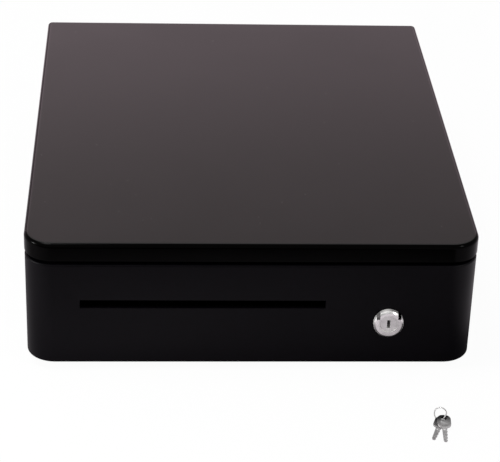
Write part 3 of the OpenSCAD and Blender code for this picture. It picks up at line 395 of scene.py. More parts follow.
def piece(name, shell, body, finishes, replaces, sharp=35.0, cutters=(), paint=None):
    """A finished piece: its mesh, what is cut out of it, its finishes, the body it rides on and the nodes it
    replaces."""
    obj = bpy.data.objects.new(name, new_mesh(name, shell))
    bpy.context.scene.collection.objects.link(obj)
    tools = []
    for i, cutter in enumerate(cutters):
        tool = bpy.data.objects.new(f"{name}_cut_{i}", new_mesh(f"{name}_cut_{i}", cutter))
        bpy.context.scene.collection.objects.link(tool)
        cut = obj.modifiers.new(tool.name, "BOOLEAN")
        cut.operation, cut.solver, cut.object = "DIFFERENCE", "EXACT", tool
        tools.append(tool)
    if tools:
        shaped = obj.evaluated_get(bpy.context.evaluated_depsgraph_get())
        mesh = bpy.data.meshes.new_from_object(shaped)
        obj.modifiers.clear()
        obj.data = mesh
        for tool in tools:
            bpy.data.objects.remove(tool)
    if not len(obj.data.polygons):
        raise RuntimeError(f"{name} came out empty")
    for finish in finishes:
        obj.data.materials.append(finish_named(finish))
    if paint is not None:
        centre, normal = np.zeros((2, len(obj.data.polygons) * 3))
        obj.data.polygons.foreach_get("center", centre)
        obj.data.polygons.foreach_get("normal", normal)
        index = paint(centre.reshape(-1, 3) / MM, normal.reshape(-1, 3))
        obj.data.polygons.foreach_set("material_index", index.astype(np.int32))
    shade(obj.data, sharp)
    if body is not None:
        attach(obj, body)
    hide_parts(*replaces)
    return obj


def finish_nodes(finish, *nodes):
    """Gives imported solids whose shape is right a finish."""
    material = finish_named(finish)
    for node in nodes:
        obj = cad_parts[node]
        if not obj.material_slots:
            obj.data.materials.append(material)
        obj.material_slots[0].material = material


# Materials


class Tree:
    """Short names for making and joining shader nodes in one tree."""

    def __init__(self, tree):
        self.tree = tree
        tree.nodes.clear()

    def add(self, kind, inputs=None, **settings):
        """A new node with its inputs fed and its settings made."""
        node = self.tree.nodes.new("ShaderNode" + kind)
        for key, value in settings.items():
            setattr(node, key, value)
        self.feed(node, inputs or {})
        return node

    def feed(self, node, inputs):
        """Links sockets to a node's inputs, and sets those that are plain values."""
        for key, value in inputs.items():
            if isinstance(value, bpy.types.NodeSocket):
                self.tree.links.new(value, node.inputs[key])
            else:
                node.inputs[key].default_value = value

    def math(self, operation, a, b):
        """One operation on two values."""
        return self.add("Math", {0: a, 1: b}, operation=operation).outputs[0]

    def weighed(self, a, share_a, b, share_b):
        """Two values added, each by its share."""
        return self.math("ADD", self.math("MULTIPLY", a, share_a), self.math("MULTIPLY", b, share_b))

    def spread(self, value, low, high, start=0.0, end=1.0):
        """A value's range carried to another range."""
        node = self.add("MapRange", {"Value": value, "From Min": start, "From Max": end,
                                     "To Min": low, "To Max": high})
        return node.outputs["Result"]

    def blend(self, share, a, b):
        """A mix of two colours."""
        node = self.add("Mix", {0: share, 6: a, 7: b}, data_type="RGBA")
        return node.outputs[2]

    def scaled(self, vector, by):
        """A vector or colour times a value."""
        return self.add("VectorMath", {0: vector, "Scale": by}, operation="SCALE").outputs[0]

    def noise(self, vector, scale, detail=2.0, rough=0.5):
        """A cloudy noise between 0 and 1."""
        node = self.add("TexNoise", {"Vector": vector, "Scale": scale, "Detail": detail,
                                     "Roughness": rough})
        return node.outputs["Fac"]

    def bump(self, height, distance):
        """The normal of a surface with a height on it, in metres."""
        return self.add("Bump", {"Height": height, "Distance": distance, "Strength": 1.0}).outputs[0]


def effect(name, scale, results, build):
    """A shared shader effect as a node group, made once: it takes a place and a scale, and gives values."""
    group = bpy.data.node_groups.get(name)
    if group:
        return group
    group = bpy.data.node_groups.new(name, "ShaderNodeTree")
    group.interface.new_socket(name="Vector", in_out="INPUT", socket_type="NodeSocketVector")
    size = group.interface.new_socket(name="Scale", in_out="INPUT", socket_type="NodeSocketFloat")
    size.default_value = scale
    for socket in results:
        group.interface.new_socket(name=socket, in_out="OUTPUT", socket_type="NodeSocketFloat")
    tree = Tree(group)
    start = group.nodes.new("NodeGroupInput")
    end = group.nodes.new("NodeGroupOutput")
    for socket, value in build(tree, start.outputs).items():
        group.links.new(value, end.inputs[socket])
    return group


def grain_effect():
    """Fine sprayed or moulded grain: a close noise and a wide one added for height, the wide one for tone."""

    def build(tree, given):
        fine = tree.noise(given["Vector"], given["Scale"], 3.0, 0.6)
        wide = tree.noise(given["Vector"], tree.math("MULTIPLY", given["Scale"], 0.27), 2.0)
        return {"Height": tree.weighed(fine, 0.6, wide, 0.4),
                "Tone": tree.spread(wide, 0.0, 1.0, 0.35, 0.65)}

    return effect("coat_grain", 900.0, ["Height", "Tone"], build)


def marks_effect():
    """Handling marks: cloudy smudges, and thin streaks where a stretched noise peaks."""

    def build(tree, given):
        cloud = tree.noise(given["Vector"], given["Scale"], 4.0, 0.62)
        long = tree.add("Mapping", {"Vector": given["Vector"], "Rotation": (0.0, 0.0, 0.5),
                                    "Scale": (0.06, 1.0, 1.0)}).outputs[0]
        streak = tree.noise(long, tree.math("MULTIPLY", given["Scale"], 60.0), 1.0)
        return {"Smudge": tree.spread(cloud, 0.0, 1.0, 0.38, 0.66),
                "Streak": tree.spread(streak, 0.0, 1.0, 0.70, 0.78)}

    return effect("handling_marks", 9.0, ["Smudge", "Streak"], build)


def dust_effect():
    """Dust specks: a few cells of a cell pattern, each a small soft dot."""

    def build(tree, given):
        cells = tree.add("TexVoronoi", {"Vector": given["Vector"], "Scale": given["Scale"]})
        dot = tree.spread(cells.outputs["Distance"], 1.0, 0.0, 0.02, 0.09)
        tone = tree.add("SeparateColor", {0: cells.outputs["Color"]}).outputs[0]
        kept = tree.math("GREATER_THAN", tone, 0.86)
        return {"Specks": tree.math("MULTIPLY", dot, kept)}

    return effect("dust_specks", 160.0, ["Specks"], build)


def drawn_effect():
    """Drawn or brushed lines: a noise stretched along y, once close and once wide."""

    def build(tree, given):
        long = tree.add("Mapping", {"Vector": given["Vector"], "Scale": (1.0, 0.02, 1.0)}).outputs[0]
        close = tree.noise(long, given["Scale"], 2.0)
        wide = tree.noise(long, tree.math("MULTIPLY", given["Scale"], 0.2), 2.0)
        return {"Lines": tree.spread(tree.weighed(close, 0.5, wide, 0.5), 0.0, 1.0, 0.35, 0.65)}

    return effect("drawn_lines", 900.0, ["Lines"], build)


def spangle_effect():
    """Zinc spangle: flat patches of tone from a cell pattern whose edges a noise bends."""

    def build(tree, given):
        bent = tree.add("TexNoise", {"Vector": given["Vector"], "Scale": 90.0}).outputs["Color"]
        moved = tree.add("Mix", {0: 0.012, 4: given["Vector"], 5: bent}, data_type="VECTOR").outputs[1]
        cells = tree.add("TexVoronoi", {"Vector": moved, "Scale": given["Scale"]})
        tone = tree.add("SeparateColor", {0: cells.outputs["Color"]}).outputs[0]
        return {"Patches": tone}

    return effect("zinc_spangle", 140.0, ["Patches"], build)


def start_material(name):
    """An empty material with its shader, output and the piece's own coordinates."""
    material = bpy.data.materials.new(name)
    material.use_nodes = True
    tree = Tree(material.node_tree)
    shader = tree.add("BsdfPrincipled")
    end = tree.add("OutputMaterial", {"Surface": shader.outputs["BSDF"]})
    end.is_active_output = True
    place = tree.add("TexCoord").outputs["Object"]
    return material, tree, shader, place


def use(tree, group, **inputs):
    """A shared effect placed in a material with its own values."""
    node = tree.tree.nodes.new("ShaderNodeGroup")
    node.node_tree = group
    tree.feed(node, inputs)
    return node.outputs


DUST_COLOUR = (0.16, 0.15, 0.14, 1.0)
# Near black that paints shade on the back of the keys' heads
HEAD_SHADE_COLOUR = (0.003, 0.003, 0.003, 1.0)
SCATTER_RADIUS = (0.004, 0.003, 0.002)
LINE_HEIGHT, RING_HEIGHT, STAMP_HEIGHT = 0.000004, 0.000012, 0.00001


def rgba(value, gain=1.0):
    """A colour made lighter or darker, with full cover."""
    return (*[min(1.0, c * gain) for c in value], 1.0)


def coated(name, base, rough, ior, grain, height, lift, smear, dust=0.0, soft=0.0, level=0.5):
    """Paint or moulded plastic: tone drifts between two shades, grain makes the bump, and marks change the
    gloss."""
    material, tree, shader, place = start_material(name)
    skin = use(tree, grain_effect(), Vector=place, Scale=grain)
    marks = use(tree, marks_effect(), Vector=place)
    tint = tree.blend(skin["Tone"], rgba(base, 1 / lift), rgba(base, lift))
    gloss = tree.spread(marks["Smudge"], rough - smear, rough + smear)
    gloss = tree.math("SUBTRACT", gloss, tree.math("MULTIPLY", marks["Streak"], smear))
    if dust:
        specks = use(tree, dust_effect(), Vector=place)["Specks"]
        tint = tree.blend(tree.math("MULTIPLY", specks, dust), tint, DUST_COLOUR)
        gloss = tree.math("ADD", gloss, tree.math("MULTIPLY", specks, 0.4 * dust))
    tree.feed(shader, {"Base Color": tint, "Roughness": gloss, "Normal": tree.bump(skin["Height"], height),
                       "IOR": ior, "Specular IOR Level": level})
    if soft:
        tree.feed(shader, {"Subsurface Weight": soft, "Subsurface Radius": SCATTER_RADIUS,
                           "Subsurface Scale": 1.0})
    return material


def plated(name, base, rough, lines, stain, turn=(0.0, 0.0, 0.0), spangle=0.0, metal=1.0):
    """Bare or plated metal: drawn lines make a fine bump and tone, cloudy stain dulls it, and spangle patches
    it."""
    material, tree, shader, place = start_material(name)
    along = tree.add("Mapping", {"Vector": place, "Rotation": turn}).outputs[0]
    drawn = use(tree, drawn_effect(), Vector=along, Scale=lines)["Lines"]
    marks = use(tree, marks_effect(), Vector=place, Scale=35.0)
    tone = tree.weighed(drawn, 0.5, marks["Smudge"], 0.5)
    gloss = tree.spread(marks["Smudge"], rough * 0.75, rough * 1.3)
    if spangle:
        patches = use(tree, spangle_effect(), Vector=place)["Patches"]
        tone = tree.blend(spangle, tone, patches)
        gloss = tree.math("ADD", gloss, tree.spread(patches, -0.07, 0.07))
    tint = tree.blend(tone, rgba(base, 1 - stain), rgba(base, 1 + 0.4 * stain))
    tree.feed(shader, {"Base Color": tint, "Roughness": gloss, "Normal": tree.bump(drawn, LINE_HEIGHT),
                       "Metallic": metal})
    return material


def lock_plate(name, base, rough):
    """Bright plate turned on a lathe: rings about the lock's axis, a faint stain, and a duller rim and
    inner edge."""
    material, tree, shader, place = start_material(name)
    sizes = bpy.context.scene.drawer_sizes
    rim, plug = sizes.bezel_r, sizes.plug_r
    lo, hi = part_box("lock_body")
    middle = (lo + hi) / 2
    about = tree.add("Mapping", {"Vector": place, "Location": (-middle[0], 0.0, -middle[2])}).outputs[0]
    flat = tree.add("VectorMath", {0: about, 1: (1.0, 0.0, 1.0)}, operation="MULTIPLY").outputs[0]
    out = tree.add("VectorMath", {0: flat}, operation="LENGTH").outputs["Value"]
    rings = tree.noise(tree.add("CombineXYZ", {0: out}).outputs[0], 9000.0, 2.0)
    marks = use(tree, marks_effect(), Vector=place, Scale=120.0)
    tone = tree.weighed(rings, 0.4, marks["Smudge"], 0.6)
    tint = tree.blend(tone, rgba(base, 0.72), rgba(base, 1.18))
    gloss = tree.spread(marks["Smudge"], rough * 0.7, rough * 1.4)
    gloss = tree.math("ADD", gloss, tree.spread(out, 0.0, 0.5, rim - 0.6 * MM, rim - 0.1 * MM))
    gloss = tree.math("ADD", gloss, tree.spread(out, 0.25, 0.0, plug + 1.2 * MM, plug + 1.5 * MM))
    tree.feed(shader, {"Base Color": tint, "Roughness": gloss, "Normal": tree.bump(rings, RING_HEIGHT),
                       "Metallic": 1.0})
    return material


def key_plate(name, base, rough):
    """Worn plate on a key: stamped grain, and painted shade that darkens the back of the head."""
    material, tree, shader, place = start_material(name)
    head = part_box("key_left")[1].y
    grain = use(tree, grain_effect(), Vector=place, Scale=1500.0)
    marks = use(tree, marks_effect(), Vector=place, Scale=90.0)
    along = tree.add("SeparateXYZ", {0: place}).outputs[1]
    ragged = tree.math("ADD", along, tree.spread(marks["Smudge"], -0.0012, 0.0012))
    # Painted shade: the head darkens to near black towards its back.
    head_shade = tree.spread(ragged, 0.0, 0.97, head - 12 * MM, head - 3.5 * MM)
    worn = tree.blend(marks["Smudge"], rgba(base, 0.8), rgba(base, 1.15))
    tint = tree.blend(head_shade, worn, HEAD_SHADE_COLOUR)
    gloss = tree.spread(grain["Tone"], rough - 0.06, rough + 0.06)
    tree.feed(shader, {"Base Color": tint, "Roughness": gloss, "Metallic": 0.75,
                       "Normal": tree.bump(grain["Height"], STAMP_HEIGHT)})
    return material


# Paint and plastic: colour, roughness, refraction, grains per metre, their height in metres, how far the tone
# drifts, how far marks change the gloss, and what else differs
COATS = {
    "cover_top": ("cover_top", 0.24, 1.55, 1400, 0.00001, 1.25, 0.02, {"dust": 0.25}),
    # The rim's row is a darker, duller copy of the top's coat: painted shade on the rim and the rounded edge.
    "cover_rim": ("cover_rim", 0.16, 1.12, 700, 0.00001, 1.3, 0.04, {"level": 0.4}),
    "front_skin": ("front_skin", 0.42, 1.2, 1600, 0.00002, 1.3, 0.05, {"level": 0.4}),
    # A near black, dull coat that paints shade: inside the media slot and in the lock's right notch.
    "liner": ("cover_rim", 0.5, 1.12, 900, 0.00002, 1.3, 0.05, {"level": 0.1}),
    "pan_coat": ("pan_coat", 0.5, 1.35, 1100, 0.00005, 1.35, 0.06, {"dust": 0.1}),
    "nylon": ("nylon", 0.42, 1.5, 500, 0.00002, 1.06, 0.05, {"soft": 0.2}),
    "foot_rubber": ("rubber", 0.78, 1.45, 800, 0.00006, 1.4, 0.06, {"dust": 0.3}),
    "black_plastic": ("black_plastic", 0.48, 1.46, 1300, 0.00005, 1.3, 0.05, {}),
    "grey_plastic": ("grey_plastic", 0.46, 1.46, 1300, 0.00005, 1.2, 0.05, {}),
    "jacket": ("jacket", 0.5, 1.45, 700, 0.00003, 1.3, 0.05, {}),
    "red_button": ("red", 0.28, 1.46, 900, 0.00001, 1.1, 0.05, {}),
}

# Plated metal: colour, roughness, drawn lines per metre, stain, and what else differs
PLATES = {
    "zinc": ("zinc", 0.46, 700, 0.15, {"spangle": 0.5}),
    "spring_wire": ("spring", 0.27, 2500, 0.4, {}),
    "ring_nickel": ("nickel", 0.3, 2600, 0.2, {"metal": 0.5}),
    "copper_wire": ("copper", 0.25, 1800, 0.35, {"turn": (0.0, 0.0, 1.57)}),
}

# Turned plate of the lock, the second a darker, duller copy that paints shade in the left notch: share of the
# colour, and roughness
LOCK_PLATES = {"lock_nickel": (1.0, 0.24), "lock_dull": (0.36, 0.45)}
KEY_ROUGHNESS = 0.42

FINISHES = {}


def make_finish(name):
    """A finish made from the row that the tables have for it."""
    colours = bpy.context.scene.drawer_colours
    if name in LOCK_PLATES:
        share, rough = LOCK_PLATES[name]
        return lock_plate(name, [share * v for v in colours.nickel], rough)
    if name == "key_nickel":
        return key_plate(name, colours.key, KEY_ROUGHNESS)
    kind, rows = (coated, COATS) if name in COATS else (plated, PLATES)
    tint, *numbers, more = rows[name]
    return kind(name, getattr(colours, tint), *numbers, **more)


def finish_named(name):
    """A finish by its name, made the first time it is asked for."""
    if name not in FINISHES:
        FINISHES[name] = make_finish(name)
    return FINISHES[name]


# Shapes of the pieces


def cover_section(lo, hi, sizes):
    """Inset and height round the cover's wall: underside, inner wall, eased lip, outer wall, rounded edge
    and top."""
    t, e = sizes.cover_t, sizes.edge_r
    z, top, ease, near = lo[2], hi[2], 0.5, 0.3
    inner = arc((e, top - e), e - t, 90, 180, 6)
    outer = arc((e, top - e), e, 180, 90, 14)
    return np.vstack([
        [(e + 2 * near, top - t), (e + near, top - t)], inner, [(t, top - e - near), (t, z + near)],
        [(t - near, z), (ease + near, z)], arc((ease, z + ease), ease, 270, 180, 6),
        [(0, z + ease + near), (0, top - e - near)], outer, [(e + near, top), (e + 2 * near, top)]])


def block_section(lo, hi, e):
    """Inset and height round a block whose upper and lower edges are rounded."""
    near = 0.4
    return np.vstack([
        [(e + near, lo)], arc((e, lo + e), e, 270, 180, 8), [(0, lo + e + near), (0, hi - e - near)],
        arc((e, hi - e), e, 180, 90, 8), [(e + near, hi)]])


def slot_form(x, z, w, h, y0, y1, lip):
    """A flat slot cut along Y: a rectangle whose mouth flares by a quarter round."""
    grow, deep = np.vstack([[(lip, -1.0)], arc((lip, lip), lip, 270, 180, 7), [(0, y1 - y0)]]).T
    corner = np.array([(-1, -1), (1, -1), (1, 1), (-1, 1)], float)
    half = np.array([w / 2, h / 2])
    flat = corner[None] * (half + grow[:, None, None])
    y = np.broadcast_to((y0 + deep)[:, None, None], (len(deep), 4, 1))
    return lofted(np.concatenate([flat[..., :1] + x, y, flat[..., 1:] + z], -1))


def rod(origin, axes, r, low, high, n=64):
    """A plain round bar along a piece's own z, from low to high."""
    return placed(turned(np.array([(0, low), (r, low), (r, high), (0, high)], float), n), origin, axes)


def slab(lo, hi):
    """A rectangular block between two corners."""
    lo, hi = np.asarray(lo, float), np.asarray(hi, float)
    pick = np.array([(0, 0), (1, 0), (1, 1), (0, 1)])
    base = lo[:2] + pick * (hi - lo)[:2]
    return lofted([np.column_stack([base, np.full(4, z)]) for z in (lo[2], hi[2])])


def screw_head(r, head, dome, shank, deep, recess, flat=False):
    """A screw turned from its head's middle to its tip. Two crossed arms sink into the head, each a smooth
    step in both ways. A countersunk head narrows to the shank instead of standing on it."""
    x, edge_r, sink, soft = np.linspace(0, 1, 22), 0.12, 1.5, 0.2
    arm_half, arm_end, arm_slope = 0.14 * r + 0.1, 0.6 * r, 0.5
    top = np.column_stack([r * 0.96 * x, head - dome * x ** 2])
    edge = arc((r - edge_r, head - dome - edge_r - 0.02), edge_r, 80, 0, 4)
    under = [(shank, head - dome - sink)] if flat else [(r, 0.0), (shank, 0.0)]
    body = np.vstack([top, edge, under, [(shank, -deep + shank / 2), (shank / 2, -deep), (0, -deep)]])

    def cross(px, py):
        """How far the two arms sink the head at each place."""
        arms = 0.0
        for a, b in ((np.abs(px), np.abs(py)), (np.abs(py), np.abs(px))):
            across = np.clip((arm_half - a) / soft + 0.5, 0, 1)
            along = np.clip((arm_end - b) / arm_slope, 0, 1)
            arms = np.maximum(arms, across * along)
        inside = np.arange(len(body))[:, None] < len(top)
        return -recess * arms ** 2 * (3 - 2 * arms) * inside

    return turned(body, 72, cross)


def key_head(n, t, ease, eye, eye_r, half, front, back, corner):
    """A key's head as a ring about its eye: its outer edge lies where a ray from the eye meets a rounded
    rectangle, found by halving, and the section has eased edges and a shallow sunk panel on both faces."""
    a = np.linspace(0, 2 * np.pi, n, endpoint=False)
    low, high = np.zeros(n), np.full(n, 2.0 * (front + back))
    for _ in range(40):
        mid = (low + high) / 2
        x = np.abs(mid * np.cos(a)) - half + corner
        y = np.abs(eye + mid * np.sin(a) - (back - front) / 2) - (back + front) / 2 + corner
        inside = np.hypot(np.maximum(x, 0), np.maximum(y, 0)) + np.minimum(np.maximum(x, y), 0) < corner
        low, high = np.where(inside, mid, low), np.where(inside, high, mid)
    width = low - eye_r
    panel_deep, panel_from, panel_slope = 0.22, 1.3, 1.2
    sunk = panel_deep * np.clip((width - panel_from) / panel_slope, 0, 1)
    zero, full, e = np.zeros(n), np.full(n, t), ease / width
    share = [e, zero + 0.30, zero + 0.36, zero + 0.74, zero + 0.80, 1 - e, zero + 1, zero + 1,
             1 - e, zero + 0.80, zero + 0.74, zero + 0.36, zero + 0.30, e, zero, zero]
    level = [zero, zero, sunk, sunk, zero, zero, zero + ease, full - ease,
             full, full, full - sunk, full - sunk, full, full, full - ease, zero + ease]
    rad = eye_r + np.array(share).T * width[:, None]
    verts = np.stack([rad * np.cos(a)[:, None], eye + rad * np.sin(a)[:, None], np.array(level).T], -1)
    return verts.reshape(-1, 3), grid_faces(n, len(share), wrap_rows=True, wrap_cols=True).tolist()


def key_blade(w, tip_w, tip, root, t, ease, cuts, deep):
    """A key's blade: a section with eased edges and a milled groove, carried from tip to head. It widens on
    the way, its right-hand edge steps in at each cut and both edges draw in at the tip."""
    draw_in, draw_len, cut_half, cut_slope = 0.7, 1.2, 0.8, 0.35
    groove_deep, groove_stop, groove_slope, skin = 0.34, 2.5, 0.8, 0.02
    y = np.linspace(tip, root, 150)
    half = np.interp(y, [tip, 0], [tip_w / 2, w / 2])
    half = half - draw_in * (1 - np.sqrt(np.clip((y - tip) / draw_len, 0, 1)))
    step = sum(np.clip((cut_half - np.abs(y - c)) / cut_slope + 0.5, 0, 1) for c in cuts)
    left, right = -half, half - deep * step
    groove = groove_deep * np.clip((root - groove_stop - y) / groove_slope, 0, 1)
    g0, g1, brow = -0.46 * half, -0.04 * half, 0.12 * half
    zero, full = skin + 0 * y, t - skin + 0 * y
    x = [left + ease, right - ease, right, right, right - ease, g1 + brow, g1, g0, g0 - brow,
         left + ease, left, left]
    z = [zero, zero, zero + ease, full - ease, full, full, full - groove, full - groove, full, full,
         full - ease, zero + ease]
    rings = np.stack([np.array(x).T, np.broadcast_to(y[:, None], (len(y), len(x))), np.array(z).T], -1)
    return lofted(rings)


def key_loop():
    """The long loop that holds the keys: an ellipse turned in plan, which climbs steeply through both eyes at
    its front end and comes down slowly round the back, both ways along half a cosine."""
    u = np.arange(200) / 200
    a = np.radians(270 + 360 * (u - LOOP_RISE / 2))
    w = np.where(u < LOOP_RISE, 0.5 * u / LOOP_RISE, 0.5 + 0.5 * (u - LOOP_RISE) / (1 - LOOP_RISE))
    up = LOOP_LOW + (LOOP_HIGH - LOOP_LOW) * (0.5 - 0.5 * np.cos(2 * np.pi * w))
    flat = np.column_stack([LOOP_HALF_W * np.cos(a), LOOP_HALF_L * np.sin(a), up])
    return flat @ turn_about("Z", LOOP_TURN).T + np.array(LOOP_MIDDLE)


def coin_cup(x0, y0, z0, w, depth, h, wall, scoop, fillet):
    """A coin cup: the hollow is a height over its plan, the scoop along y and the side fillet along x joined
    by a soft maximum. Its edge runs up to a round rim and down the outside to a chamfered foot."""
    nx, ny, chamfer = 29, 71, 0.6
    u = 0.5 - 0.5 * np.cos(np.pi * np.linspace(0, 1, nx))
    v = 0.5 - 0.5 * np.cos(np.pi * np.linspace(0, 1, ny))
    x, y = np.meshgrid((w - 2 * wall) * u, (depth - 2 * wall) * v)
    near_x = np.minimum(x, w - 2 * wall - x)
    near_y = np.minimum(y, depth - 2 * wall - y)

    def quarter(d, r):
        """How high a quarter circle stands at a distance from the wall that it rises to."""
        return r - np.sqrt(np.clip(r ** 2 - np.clip(r - d, 0, r) ** 2, 0, None))

    z = (quarter(near_x, fillet) ** 3 + quarter(near_y, scoop) ** 3) ** (1 / 3)
    half = wall / 2
    grid = np.stack([x + wall, y + wall, wall + z], -1).reshape(-1, 3)
    index = np.arange(nx * ny).reshape(ny, nx)
    edge = np.concatenate([index[0, :-1], index[:-1, -1], index[-1, :0:-1], index[:0:-1, 0]])
    side = np.stack([np.sign(np.round(grid[edge, 0] - w / 2, 6)) * (np.isin(edge, index[:, [0, -1]])),
                     np.sign(np.round(grid[edge, 1] - depth / 2, 6)) * (np.isin(edge, index[[0, -1]]))], -1)
    rim = arc((half, h - half), half, 180, 0, 9)
    steps = np.vstack([rim, [(wall, chamfer), (wall - chamfer, 0.0)]])
    rings = [np.column_stack([grid[edge, :2] + o * side, np.full(len(edge), lift)]) for o, lift in steps]
    count = len(edge)
    first = nx * ny
    loops = [edge] + [first + k * count + np.arange(count) for k in range(len(rings))]
    faces = grid_faces(ny, nx).tolist()
    for a, b in zip(loops[:-1], loops[1:]):
        faces += np.stack([a, np.roll(a, -1), np.roll(b, -1), b], -1).tolist()
    faces.append(loops[-1].tolist())
    return np.vstack([grid, *rings]) + np.array([x0, y0, z0]), faces


# Operators


def cover_screw_places():
    """Where the cover's screws sit, and which way each faces: two a side and two at the back."""
    lo, hi = box_mm("top_cover")
    sides = [((x, y, COVER_SCREW_Z), axes) for x, axes in ((hi[0], OUT_RIGHT), (lo[0], OUT_LEFT))
             for y in COVER_SCREW_Y]
    return sides + [((x, hi[1], COVER_SCREW_Z), OUT_BACK) for x in COVER_SCREW_X]


class DRAWER_OT_cover(bpy.types.Operator):
    """Builds the cover: a flat top with a rounded edge and a rim all round, with seats for its screws"""

    bl_idname = "drawer.cover"
    bl_label = "Cover"

    def execute(self, context):
        s = sizes_mm()
        lo, hi = box_mm("top_cover")
        plan = outline(hi[0] - lo[0], lo[1], hi[1], s.corner_r, s.back_r, 28)
        seat = turned(np.array([(0, -SEAT_DEEP), (SEAT_HOLE_R, -SEAT_DEEP), (SEAT_R, 0.02), (SEAT_R, 1.0),
                                (0, 1.0)], float), 40)
        seats = [placed(seat, origin, axes) for origin, axes in cover_screw_places()]

        def paint(centre, normal):
            """The flat top has the cover's coat, and all else, the rounded edge too, a darker, duller copy of
            it that paints shade.
            """
            top = (normal[:, 2] > 0.95) & (centre[:, 2] > lo[2] + 3)
            return np.where(top, 0, 1)

        piece("cover", rim_shell(*plan, cover_section(lo, hi, s)), "housing",
              ["cover_top", "cover_rim"], ["top_cover"], cutters=seats, paint=paint)
        return {"FINISHED"}


class DRAWER_OT_front(bpy.types.Operator):
    """Builds the drawer's front: a hollow block with rounded corners, the media slot and the lock hole"""

    bl_idname = "drawer.front"
    bl_label = "Drawer front"

    def execute(self, context):
        s = sizes_mm()
        lo, hi = box_mm("drawer_front")
        t, r, w = s.front_t, s.corner_r, hi[0] - lo[0]
        slot_w, slot_h = s.slot_w, s.slot_h
        shell = rim_shell(*outline(w, lo[1], hi[1], r, 0, 28),
                          block_section(lo[2], hi[2], s.front_edge))
        room = rim_shell(*outline(w - 2 * t, lo[1] + t, hi[1] + 2, r - t, 0, 20),
                         np.array([(0, lo[2] + t), (0, hi[2] - t)]))
        slot_z = box_mm("media_chute")[1][2] - CHUTE_WALL - slot_h / 2
        slot = slot_form(middle_mm("media_chute")[0], slot_z, slot_w, slot_h, lo[1], lo[1] + t + 1,
                         s.slot_lip)
        lock_x, _, lock_z = middle_mm("lock_body")
        hole = rod((lock_x, lo[1], lock_z), OUT_BACK, s.barrel_r + PLAY, -1, t + 1)
        piece("front", shell, "drawer", ["front_skin"], ["drawer_front"],
              cutters=[room, slot, hole])
        bosses = [rod((x, lo[1] + t, z), OUT_BACK, BOSS_R, -1, hi[1] - lo[1] - t - BOSS_SHORT, 40)
                  for x, z in FRONT_SCREWS]
        piece("front_bosses", joined(bosses), "drawer", ["front_skin"], ["drawer_front"])
        return {"FINISHED"}


class DRAWER_OT_lock(bpy.types.Operator):
    """Builds the lock: threaded barrel with a bevelled, notched bezel, and the plug with its keyhole"""

    bl_idname = "drawer.lock"
    bl_label = "Lock"

    def execute(self, context):
        s = sizes_mm()
        x, _, z = middle_mm("lock_body")
        origin = (x, box_mm("drawer_front")[0][1], z)
        self.body(s, origin)
        self.plug(s, origin)
        finish_nodes("zinc", "lock_nut", "lock_cam")
        return {"FINISHED"}

    def body(self, s, origin):
        """A section turned about the bore: the barrel with a thread along a cosine, then the bezel, which has
        an eased foot, a bevelled and rounded face and a small chamfer into the bore."""
        lo, hi = box_mm("lock_body")
        out, deep = origin[1] - lo[1], hi[1] - origin[1]
        bore, barrel, bezel, bevel = s.plug_r + PLAY, s.barrel_r, s.bezel_r, s.bevel
        foot_r, rim_r, rim_lean, face_r, face_lean, mouth_r = 0.25, 0.3, 0.124, 0.4, 0.166, 0.06
        h = np.linspace(-deep + BARREL_CHAMFER, -THREAD_END, 120)
        wave = 0.5 - 0.5 * np.cos(2 * np.pi * h / THREAD_PITCH)
        thread = np.column_stack([barrel - THREAD_DEEP * wave, h])
        foot = arc((bezel - foot_r, foot_r), foot_r, -80, 0, 4)
        rim = arc((bezel - rim_r, out - bevel - rim_lean), rim_r, 0, 45, 5)
        face = arc((bezel - bevel - face_lean, out - face_r), face_r, 45, 90, 6)
        mouth = arc((bore + 0.15, out - mouth_r), mouth_r, 90, 135, 3)
        section = np.vstack([
            [(bore, -deep), (barrel - BARREL_CHAMFER, -deep)], thread,
            [(barrel, -THREAD_NECK), (barrel, 0.0), (bezel - 0.1, 0.0)], foot, rim, face,
            [(bore + 0.18, out)], mouth, [(bore + 0.05, out - 0.14), (bore, out - 0.3)]])
        notches = []
        for side, depth in NOTCH_DEEP.items():
            left, right = sorted([side * NOTCH_IN, side * (NOTCH_IN + NOTCH_W)])
            notches.append(slab((origin[0] + left, lo[1] - 1, origin[2] + NOTCH_LOW),
                                (origin[0] + right, lo[1] + depth, hi[2] + 1)))

        def paint(centre, normal):
            """The right notch has painted black shade, the left one a painted grey shade of the plate, and
            all else the bright plate.
            """
            x, y, z = (centre - origin).T
            cut = (np.abs(x) > NOTCH_IN - PLAY) & (np.abs(x) < NOTCH_IN + NOTCH_W + PLAY)
            cut = cut & (z > NOTCH_LOW - PLAY) & (y < -2 * PLAY)
            return np.where(cut, np.where(x > 0, 1, 2), 0)

        piece("lock_bezel", placed(turned(section, 128, ring=True), origin, OUT_FRONT), "drawer",
              ["lock_nickel", "liner", "lock_dull"], ["lock_body"], sharp=30, cutters=notches, paint=paint)

    def plug(self, s, origin):
        """A section turned about the lock's axis, with eased ends, the keyhole cut in and a square tail."""
        lo, hi = box_mm("lock_plug")
        r, face, neck = s.plug_r, origin[1] - lo[1], hi[1] - origin[1] - TAIL_LEN
        ease = 0.3
        section = np.vstack([[(0, face), (r - 0.5, face)], arc((r - ease, face - ease), ease, 90, 0, 6),
                             [(r, -neck + ease), (r - ease, -neck), (0, -neck)]])
        keyhole = slot_form(origin[0], origin[2], s.keyhole_w, s.keyhole_h, lo[1],
                            lo[1] + KEYHOLE_DEEP, KEYHOLE_LIP)
        piece("lock_core", placed(turned(section, 96), origin, OUT_FRONT), "lock_barrel",
              ["lock_nickel"], ["lock_plug"], sharp=30, cutters=[keyhole])
        tail = slab((origin[0] - TAIL_HALF, hi[1] - TAIL_LEN - OVERLAP, origin[2] - TAIL_HALF),
                    (origin[0] + TAIL_HALF, hi[1], origin[2] + TAIL_HALF))
        piece("lock_tail", tail, "lock_barrel", ["lock_nickel"], ["lock_plug"])


